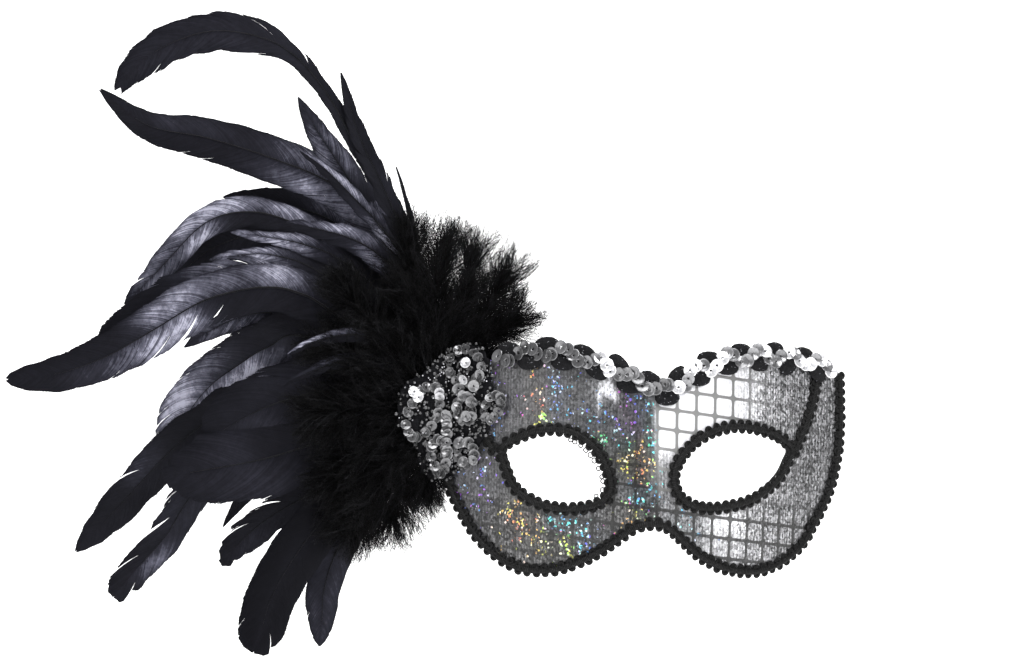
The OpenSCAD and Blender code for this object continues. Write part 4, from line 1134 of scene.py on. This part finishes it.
# node, width, outline, fray, sweep, seed; the quill from tip to root; painted sheen bands; splits
FEATHERS = [
    ("coque_crest_long", 16.5, "club", 0.04, 2.3, 101,
     [(-221.5, 22, 158), (-216, 24, 167), (-202, 27, 178), (-181.5, 29, 184.8), (-160, 31, 182),
      (-146, 33, 174), (-136.5, 35, 163.6), (-128.6, 37, 152), (-121, 39, 138), (-107, 43, 115),
      (-92, 47, 80), (-86, 48, 38)],
     [(0.8, 0.2, 0, 0.08)], [(0.6, 1, 7), (0.67, 1, 6), (0.75, 1, 5), (0.64, -1, 4), (0.86, -1, 2),
      (0.4, 1, 5), (0.34, 1, 5)]),
    ("coque_crest_second", 21, "sharp", 0.012, 1.8, 102,
     [(-231, 72, 163), (-210, 68, 147), (-184, 64, 141.2), (-156, 61, 132.3), (-128, 57, 119.6),
      (-102, 55, 93), (-85, 54, 40)],
     [(0.5, 0.1, 0, 0.6), (0.36, 0.08, 0, 0.35), (0.8, 0.12, 1, 0.16)], [(0.42, -1, 3)]),
    ("coque_crest_under", 19, "sharp", 0.02, 1.9, 123,
     [(-177, 76, 116), (-165, 74, 115), (-148, 70, 112), (-128, 64, 104), (-107, 58, 84),
      (-88, 55, 42)],
     [(0.62, 0.1, 0, 0.55), (0.45, 0.1, 1, 0.3)], [(0.8, -1, 3)]),
    ("coque_spike_inner", 9, "sharp", 0.06, 2.2, 103,
     [(-127, 34, 168), (-119, 37, 141), (-108, 41, 118), (-90, 46, 75), (-83, 47, 36)],
     [(0.62, 0.08, 1, 0.12)], [(0.6, 1, 5), (0.72, -1, 5), (0.5, -1, 5), (0.82, -1, 4)]),
    ("coque_spike_outer", 16, "sharp", 0.02, 2, 104,
     [(-144.6, 60, 159), (-136.3, 58, 144), (-125.2, 57, 127), (-96, 55, 80), (-84, 55, 36)],
     [(0.8, 0.14, 0, 0.5)], [(0.7, -1, 5), (0.58, 1, 3)]),
    ("coque_arch_upper", 14, "leaf", 0.02, 2, 105,
     [(-220, 66, 68.5), (-212, 65, 76.2), (-199, 62, 90.2), (-189.2, 60, 100.6),
      (-179.8, 58, 106.5), (-168, 56, 108.8), (-155, 54, 107), (-138, 52, 99), (-118, 51, 80),
      (-85, 50, 34)],
     [(0.9, 0.07, 0, 0.65), (0.76, 0.06, 0, 0.95), (0.66, 0.06, 1, 0.9), (0.52, 0.07, 1, 0.7)],
      [(0.9, 1, 4), (0.6, 1, 3)]),
    ("coque_arch_lower", 18, "leaf", 0.02, 1.7, 106,
     [(-206, 84, 71), (-196, 80, 82), (-184, 74, 92), (-170, 68, 98), (-156, 63, 100),
      (-140, 60, 96), (-118, 56, 78), (-86, 53, 32)],
     [(0.7, 0.1, -1, 0.08)], [(0.9, -1, 3)]),
    ("coque_sweep_long", 22.5, "blade", 0.015, 1.6, 107,
     [(-270, 42, 36.4), (-249, 42, 38.6), (-228, 43, 45.8), (-208, 44, 57), (-188, 45, 69),
      (-173, 46, 74), (-159, 46, 76), (-146, 46, 74), (-130, 46, 65), (-86, 46, 28)],
     [(0.4, 0.06, 1, 0.75), (0.52, 0.07, 1, 0.4), (0.63, 0.07, 1, 0.8), (0.7, 0.07, -1, 0.6),
      (0.61, 0.05, -1, 0.7), (0.8, 0.06, -1, 0.25)], [(0.5, -1, 6), (0.56, -1, 6), (0.62, -1, 4)]),
    ("coque_sweep_gloss", 16, "leaf", 0.05, 2, 108,
     [(-232, 58, 53), (-217, 56, 63), (-201, 54, 72), (-183, 52, 79), (-160, 50, 82),
      (-138, 48, 75), (-110, 47, 55), (-86, 47, 30)],
     [(0.66, 0.08, 1, 0.55), (0.52, 0.08, 1, 0.55)], [(0.6, 1, 6), (0.54, 1, 5), (0.48, 1, 6),
      (0.66, 1, 4)]),
    ("coque_sweep_under", 14, "sharp", 0.02, 1.8, 109,
     [(-194, 74, 50), (-183, 70, 57), (-170, 66, 63), (-155, 62, 65), (-134, 58, 60),
      (-86, 54, 27)],
     [(0.8, 0.14, 0, 0.6)], [(0.7, 1, 3)]),
    ("coque_drop_broad", 25, "round", 0.015, 1.5, 110,
     [(-200, 78, 3.5), (-195.8, 76, 14), (-190, 72, 24.5), (-181.8, 68, 34), (-171, 62, 42),
      (-158, 58, 50), (-140, 54, 54), (-86, 50, 25)],
     [(0.86, 0.16, 1, 0.95), (0.8, 0.17, -1, 0.8), (0.62, 0.1, -1, 0.7)], [(0.9, -1, 3),
      (0.84, 1, 2)]),
    ("coque_drop_long", 18.5, "leaf", 0.02, 1.8, 111,
     [(-242, 92, -40.5), (-229, 88, -27), (-218.5, 84, -15.5), (-209, 80, -4.8), (-198, 75, 6.4),
      (-183, 70, 18), (-158, 62, 30), (-86, 52, 23)],
     [(0.74, 0.05, 1, 0.3)], [(0.72, 1, 4)]),
    ("coque_split_tip", 15, "round", 0.04, 2.6, 112,
     [(-224.6, 62, -58.5), (-212.8, 61, -44.5), (-201.4, 59, -31), (-192.6, 57, -16.5),
      (-179, 55, -2), (-152, 52, 13), (-86, 50, 21)],
     [(0.86, 0.06, -1, 0.5), (0.7, 0.1, 0, 0.15)], [(0.72, 1, 9), (0.84, 1, 5), (0.9, -1, 6)]),
    ("coque_haze_upper", 32, "leaf", 0.02, 1.9, 124,
     [(-186, 48, 8), (-173, 47, 17), (-157, 46, 25), (-135, 46, 31), (-110, 46, 32), (-88, 46, 26)],
     [(0.72, 0.12, -1, 0.14), (0.5, 0.2, 1, 0.1)], [(0.9, 1, 3)]),
    ("coque_haze_broad", 33, "leaf", 0.02, 2, 113,
     [(-203, 42, -5.5), (-184, 43, -2.4), (-160, 44, 2), (-136, 45, 9), (-110, 46, 16),
      (-88, 46, 22)],
     [(0.68, 0.12, -1, 0.16), (0.75, 0.1, 1, 0.14)], [(0.9, 1, 3)]),
    ("coque_low_slim", 16, "leaf", 0.05, 2.2, 114,
     [(-177.6, 70, -45.5), (-167.4, 67, -32.8), (-155.3, 63, -23), (-138, 59, -13), (-112, 56, 2),
      (-86, 54, 19)],
     [(0.85, 0.08, -1, 0.1)], [(0.62, 1, 6), (0.76, 1, 5), (0.68, 1, 3), (0.9, -1, 3)]),
    ("coque_low_blunt", 22.5, "round", 0.012, 1.6, 115,
     [(-164.5, 33, -80.5), (-160.8, 35, -70), (-156.6, 37, -57), (-147.5, 39, -41),
      (-131.5, 42, -20), (-109, 45, 2), (-87, 47, 18)],
     [(0.6, 0.9, 0, -0.06)], [(0.88, -1, 3)]),
    ("coque_low_grey", 16, "leaf", 0.01, 1.8, 116,
     [(-135.3, 58, -80), (-134.3, 57, -68), (-133.3, 56, -54), (-126.3, 55, -35), (-108, 54, -6),
      (-86, 53, 17)],
     [(0.9, 0.35, 0, 0.24)], []),
    ("coque_low_short", 9, "sharp", 0.03, 1.8, 117,
     [(-177, 80, -29), (-168, 76, -16), (-154, 70, -3), (-126, 61, 11), (-86, 55, 22)],
     [], [(0.8, 1, 3)]),
    ("coque_gloss_crest", 8, "sharp", 0.06, 2.6, 125,
     [(-144, 52, 135), (-133, 51, 127), (-121, 50, 115), (-109, 49, 102), (-98, 48, 84),
      (-86, 48, 42)],
     [(0.8, 0.22, 1, 0.95), (0.5, 0.15, -1, 0.8)], [(0.8, -1, 4), (0.7, 1, 4), (0.6, 1, 3)]),
    ("coque_gloss_upper", 12, "sharp", 0.05, 2.2, 118,
     [(-150, 46, 104), (-136, 46, 101), (-122, 46, 97), (-109, 46, 89), (-97, 47, 74),
      (-84, 48, 36)],
     [(0.78, 0.18, 1, 0.75), (0.6, 0.12, -1, 0.55)], [(0.75, -1, 4), (0.62, -1, 3), (0.86, 1, 4)]),
    ("coque_gloss_mid", 9, "sharp", 0.06, 2.6, 119,
     [(-174, 54, 100), (-160, 52, 98), (-144, 50, 95), (-127, 49, 88), (-107, 48, 70),
      (-85, 48, 32)],
     [(0.84, 0.16, 0, 0.85)], [(0.8, -1, 5), (0.9, 1, 4)]),
    ("coque_gloss_under", 9, "sharp", 0.06, 2.6, 126,
     [(-183, 55, 88), (-170, 53, 90), (-156, 51, 90), (-138, 50, 84), (-114, 48, 66),
      (-86, 48, 32)],
     [(0.86, 0.14, 0, 0.85)], [(0.84, 1, 5), (0.9, -1, 4), (0.76, 1, 4)]),
    ("coque_gloss_inner", 6, "sharp", 0.03, 2.6, 120,
     [(-150, 32, 47), (-140, 31, 52), (-129, 30, 55), (-118, 31, 55), (-104, 35, 48),
      (-87, 44, 30)],
     [(0.88, 0.3, 1, 0.8)], [(0.8, 1, 3)]),
    ("coque_gloss_lower", 6, "sharp", 0.08, 2.8, 121,
     [(-150, 33, 35), (-139, 32, 40), (-127, 31, 44), (-112, 32, 45), (-99, 36, 39), (-87, 44, 27)],
     [(0.75, 0.2, 1, 0.35)], [(0.8, -1, 6), (0.7, -1, 5), (0.9, -1, 5)]),
    ("hackle_wisp", 2.4, "sharp", 0.15, 1.6, 122,
     [(-103, 40, 128), (-99, 41, 115), (-93, 43, 90), (-84, 46, 38)],
     [], []),
]
for node, width, tip, fray, sweep, seed, pts, painted_sheen, splits in FEATHERS:
    coque(node, pts, width, painted_sheen, seed, splits, tip, fray, sweep)


# ---------------------------------------------------------------- marabou down
ROOT = np.array([-88, 38 + PLUME_BACK, 26.0])
LOCKS, TIP_LOCKS, BARBS_A_LOCK, BARBULES, DOWN_STEPS = 104, 16, 13, 17, 40


def marabou(node, tip, width, seed):
    """Down: barbs gathered in locks off a soft stem, each barb fringed with fine barbules."""
    rng = np.random.default_rng(seed)
    tip = np.array(tip, float) + [0, PLUME_BACK, 0]
    d0 = tip - ROOT
    stem = smooth([ROOT + 0.06 * d0, ROOT + 0.50 * d0 + [0, 0, 2], ROOT + 0.88 * d0], 12)
    stem = even(stem, DOWN_STEPS)
    d, s, u = quill_frame(stem)

    def spray(t, ang, opening, reach):
        """Where a barb from place t ends."""
        dd, ss, uu = along_path(t, d), along_path(t, s), along_path(t, u)
        rad = np.cos(ang)[:, None] * ss + 0.50 * np.sin(ang)[:, None] * uu
        out = unit(np.cos(opening)[:, None] * dd + np.sin(opening)[:, None] * rad)
        return out * reach[:, None]

    # each lock's place on the stem, its angle round it, how far it opens and its reach
    lt = np.r_[rng.random(LOCKS - TIP_LOCKS) ** 0.75 * 0.92, 0.88 + 0.10 * rng.random(TIP_LOCKS)]
    la = rng.random(LOCKS) * TAU
    lo = np.radians(28 + 47 * rng.random(LOCKS)) * (1 - 0.30 * (lt > 0.87))
    lr = width * (0.52 + 0.30 * rng.random(LOCKS)) * (1 - 0.30 * lt)
    lock_end = along_path(lt, stem) + spray(lt, la, lo, lr)
    k = np.repeat(np.arange(LOCKS), BARBS_A_LOCK)
    n = len(k)
    t0 = np.clip(lt[k] - 0.10 * rng.random(n) + 0.04 * rng.standard_normal(n), 0, 0.99)
    root = along_path(t0, stem)
    own = root + spray(t0, la[k] + 0.5 * rng.standard_normal(n),
                       lo[k] * (0.8 + 0.4 * rng.random(n)), lr[k] * (0.7 + 0.5 * rng.random(n)))
    end = own + 0.58 * (lock_end[k] - own)
    seg = 5
    sv = np.linspace(0, 1, seg + 1)
    path = root[:, None] + (end - root)[:, None] * sv[None, :, None]
    bow = 0.14 * np.linalg.norm(end - root, axis=1)[:, None] * unit(rng.standard_normal((n, 3)))
    path += bow[:, None] * np.sin(math.pi * sv)[None, :, None]
    along = unit(np.gradient(path, axis=1))
    across = unit(np.cross(along, rng.standard_normal((n, 1, 3))))
    half = np.tile(0.15 * (1 - 0.75 * sv), (n, 1))
    rnd = rng.random((n, 1))
    heap = Heap()
    v, q = ribbons(path, across, half, 0.0)
    bake = each(0.01 + 0.97 * rnd, 0.02 + 0.9 * sv)
    bake[1::2, 0] += 0.004
    heap.add(v, q, tone=each(sv, rnd), bake=bake)
    # barbules: short hairs along every barb
    b = np.linspace(0.05, 0.99, BARBULES)[None] + 0.02 * rng.random((n, BARBULES))
    b = np.clip(b, 0, 0.999)
    i = (b * seg).astype(int)
    f = (b * seg - i)[..., None]
    rows = np.arange(n)[:, None]
    at = path[rows, i] * (1 - f) + path[rows, i + 1] * f
    go = along[rows, i]
    swing = unit(np.cross(go, rng.standard_normal(at.shape)))
    hair = (1.4 + 1.7 * rng.random(b.shape) * (1 - 0.6 * b))[..., None]
    peak = at + hair * unit(0.75 * go + swing)
    foot = 0.13 * np.cross(go, swing)
    v = np.stack([at - foot, at + foot, peak], 2).reshape(-1, 3)
    t = np.arange(len(v)).reshape(-1, 3)
    bake = each(0.01 + 0.97 * rnd, 0.02 + 0.9 * b, 3)
    bake[1::3, 0] += 0.004
    bake[2::3, 1] += 0.008
    heap.add(v, tris=t, tone=each(b, rnd, 3), bake=bake)
    v, q = tube(stem, np.linspace(0.6, 0.12, len(stem)), 7)
    row = np.linspace(0.02, 0.98, len(stem))[:, None]
    heap.add(v, q, bake=each(0.99 + 0.001 * np.arange(7), row, 1), mat=1)
    ob = heap.make(node.replace("marabou", "down"), [M_DOWN.m, M_QUILL.m])
    return done(ob, "marabou", node)


PLUMES = [((-47, 36, 68), 32), ((-49.5, 40, 89), 34), ((-66.5, 36, 100), 34), ((-84, 32, 104.5),
          38), ((-101, 36, 105), 36), ((-134, 32, 84), 30), ((-137, 36, 54), 36), ((-142, 32,
          20), 38), ((-134, 36, -12), 38), ((-128, 32, -37), 36), ((-109, 36, -31), 34), ((-91,
          32, -14), 30)]
for k, (tip, w) in enumerate(PLUMES):
    marabou(f"marabou_{k + 1:02d}", tip, w, 200 + k)


# ---------------------------------------------------------------- card, felt and loops
def disc(name, node, thick, mat, slot_name, crown):
    """A soft-edged disc in the place of its CAD solid."""
    lo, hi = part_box(node)
    c = (np.array(lo) + np.array(hi)) / 2 / MM
    r = (hi.z - lo.z) / 2 / MM
    a = math.radians(-8)
    ex, ez = np.array([math.cos(a), math.sin(a), 0]), np.array([0, 0, 1.0])
    ey = np.array([-math.sin(a), math.cos(a), 0])
    front = [(0.02, 1.0), (0.4, 0.97), (0.75, 0.9), (0.93, 0.72), (0.99, 0.35)]
    prof = front + [(1.0, 0.0)] + [(f, -h) for f, h in front[::-1]]
    seg = 96
    th = around(seg)
    rows = []
    for f, h in prof:
        rr = r * f * (1 + 0.004 * np.sin(th * 17) * (f > 0.9))
        rows.append(c + (rr * np.cos(th))[:, None] * ex + (rr * np.sin(th))[:, None] * ez
                    + (thick / 2 * h + crown * (1 - f * f)) * ey)
    v = np.vstack(rows)
    q = grid_quads(len(prof), seg, True)
    n = len(v)
    v = np.vstack([v, rows[0].mean(0), rows[-1].mean(0)])
    t = np.vstack([fan(n, 0, seg)[:, [0, 2, 1]], fan(n + 1, n - seg, seg)])
    ob = make(name, v, q, t, mats=[mat.m])
    weld(ob, 1e-7)
    return done(ob, slot_name, node)


disc("card_disc", "plume_card", 1.6, M_CARD, "card", 0.0)
felt = disc("felt_disc", "plume_felt", 1.5, M_FELT, "felt", 0.15)
for side in ("right", "left"):
    node = NODES["strap_loop_" + side]
    node.data.materials.clear()
    node.data.materials.append(M_LOOP.m)


# ---------------------------------------------------------------- floor, light, camera
def stage_mesh():
    """A pale floor that curves up, well behind the object, into the backdrop."""
    flat_to, curve_r, floor_z = 2.9, 0.6, -0.10
    prof = [(-6.0, floor_z), (0.4, floor_z), (1.2, floor_z), (flat_to, floor_z)]
    for k in range(1, 13):
        a = math.radians(90 * k / 12)
        prof.append((flat_to + curve_r * math.sin(a), floor_z + curve_r * (1 - math.cos(a))))
    prof.append((flat_to + curve_r, 8.0))
    v = [(x * 1000, y * 1000, z * 1000) for y, z in prof for x in (-7.0, 7.0)]
    q = [(2 * k, 2 * k + 1, 2 * k + 3, 2 * k + 2) for k in range(len(prof) - 1)]
    m = Mat("backdrop", "backdrop")
    m.bsdf(Base_Color=(0.86, 0.86, 0.86, 1), Roughness=0.9, Specular_IOR_Level=0.0,
           Emission_Color=(1, 1, 1, 1))
    # far from the lights the floor and the wall glow a little more, so that both stay white
    place = m.n("SeparateXYZ", ins={0: m.obj()})
    m.bsdf(Emission_Strength=m.span(place.outputs[1], 0.45, 1.2, 0.62, 1.0))
    make("floor", v, q, mats=[m.m])


stage_mesh()


def area_light(name, loc, target, size, power, color=(1, 1, 1)):
    li = bpy.data.lights.new(name, "AREA")
    li.energy, li.size, li.color = power, size, color
    ob = bpy.data.objects.new(name, li)
    ob.location = loc
    aim = mathutils.Vector(target) - ob.location
    ob.rotation_euler = aim.to_track_quat("-Z", "Y").to_euler()
    bpy.context.scene.collection.objects.link(ob)


area_light("key", (0.75, -1.25, 0.75), (0.0, 0, 0.02), 0.55, 11)
area_light("fill", (-1.2, -1.1, 0.35), (-0.05, 0, 0.03), 0.6, 3.0)
area_light("top", (-0.35, -0.15, 1.2), (-0.12, 0.05, 0.06), 0.6, 5)
area_light("wall", (0.0, -0.2, 1.7), (0.0, 1.1, 0.1), 1.4, 30)

world = bpy.data.worlds.new("studio")
bpy.context.scene.world = world
world.use_nodes = True
# a faint even light on the object, and plain white where a view looks past the floor
sky = world.node_tree.nodes["Background"]
sky.inputs["Color"].default_value = (1, 1, 1, 1)
seen = world.node_tree.nodes.new("ShaderNodeLightPath")
level = world.node_tree.nodes.new("ShaderNodeMath")
level.operation = "MULTIPLY_ADD"
level.inputs[1].default_value = 0.88
level.inputs[2].default_value = 0.12
world.node_tree.links.new(seen.outputs["Is Camera Ray"], level.inputs[0])
world.node_tree.links.new(level.outputs[0], sky.inputs["Strength"])
bpy.context.scene.view_settings.view_transform = "Standard"

AZ, DISTANCE, ASIDE, HEIGHT = math.radians(-5), 1.5, -0.0567, 0.0552
back = np.array([math.sin(AZ), -math.cos(AZ), 0])
across = np.array([math.cos(AZ), math.sin(AZ), 0])
cam_d = bpy.data.cameras.new("camera")
cam_d.lens, cam_d.sensor_width = 125.5, 36.0
cam = bpy.data.objects.new("camera", cam_d)
cam.location = across * ASIDE + np.array([0, 0, HEIGHT]) + back * DISTANCE
cam.rotation_euler = (math.pi / 2, 0, AZ)
bpy.context.scene.collection.objects.link(cam)
bpy.context.scene.camera = cam
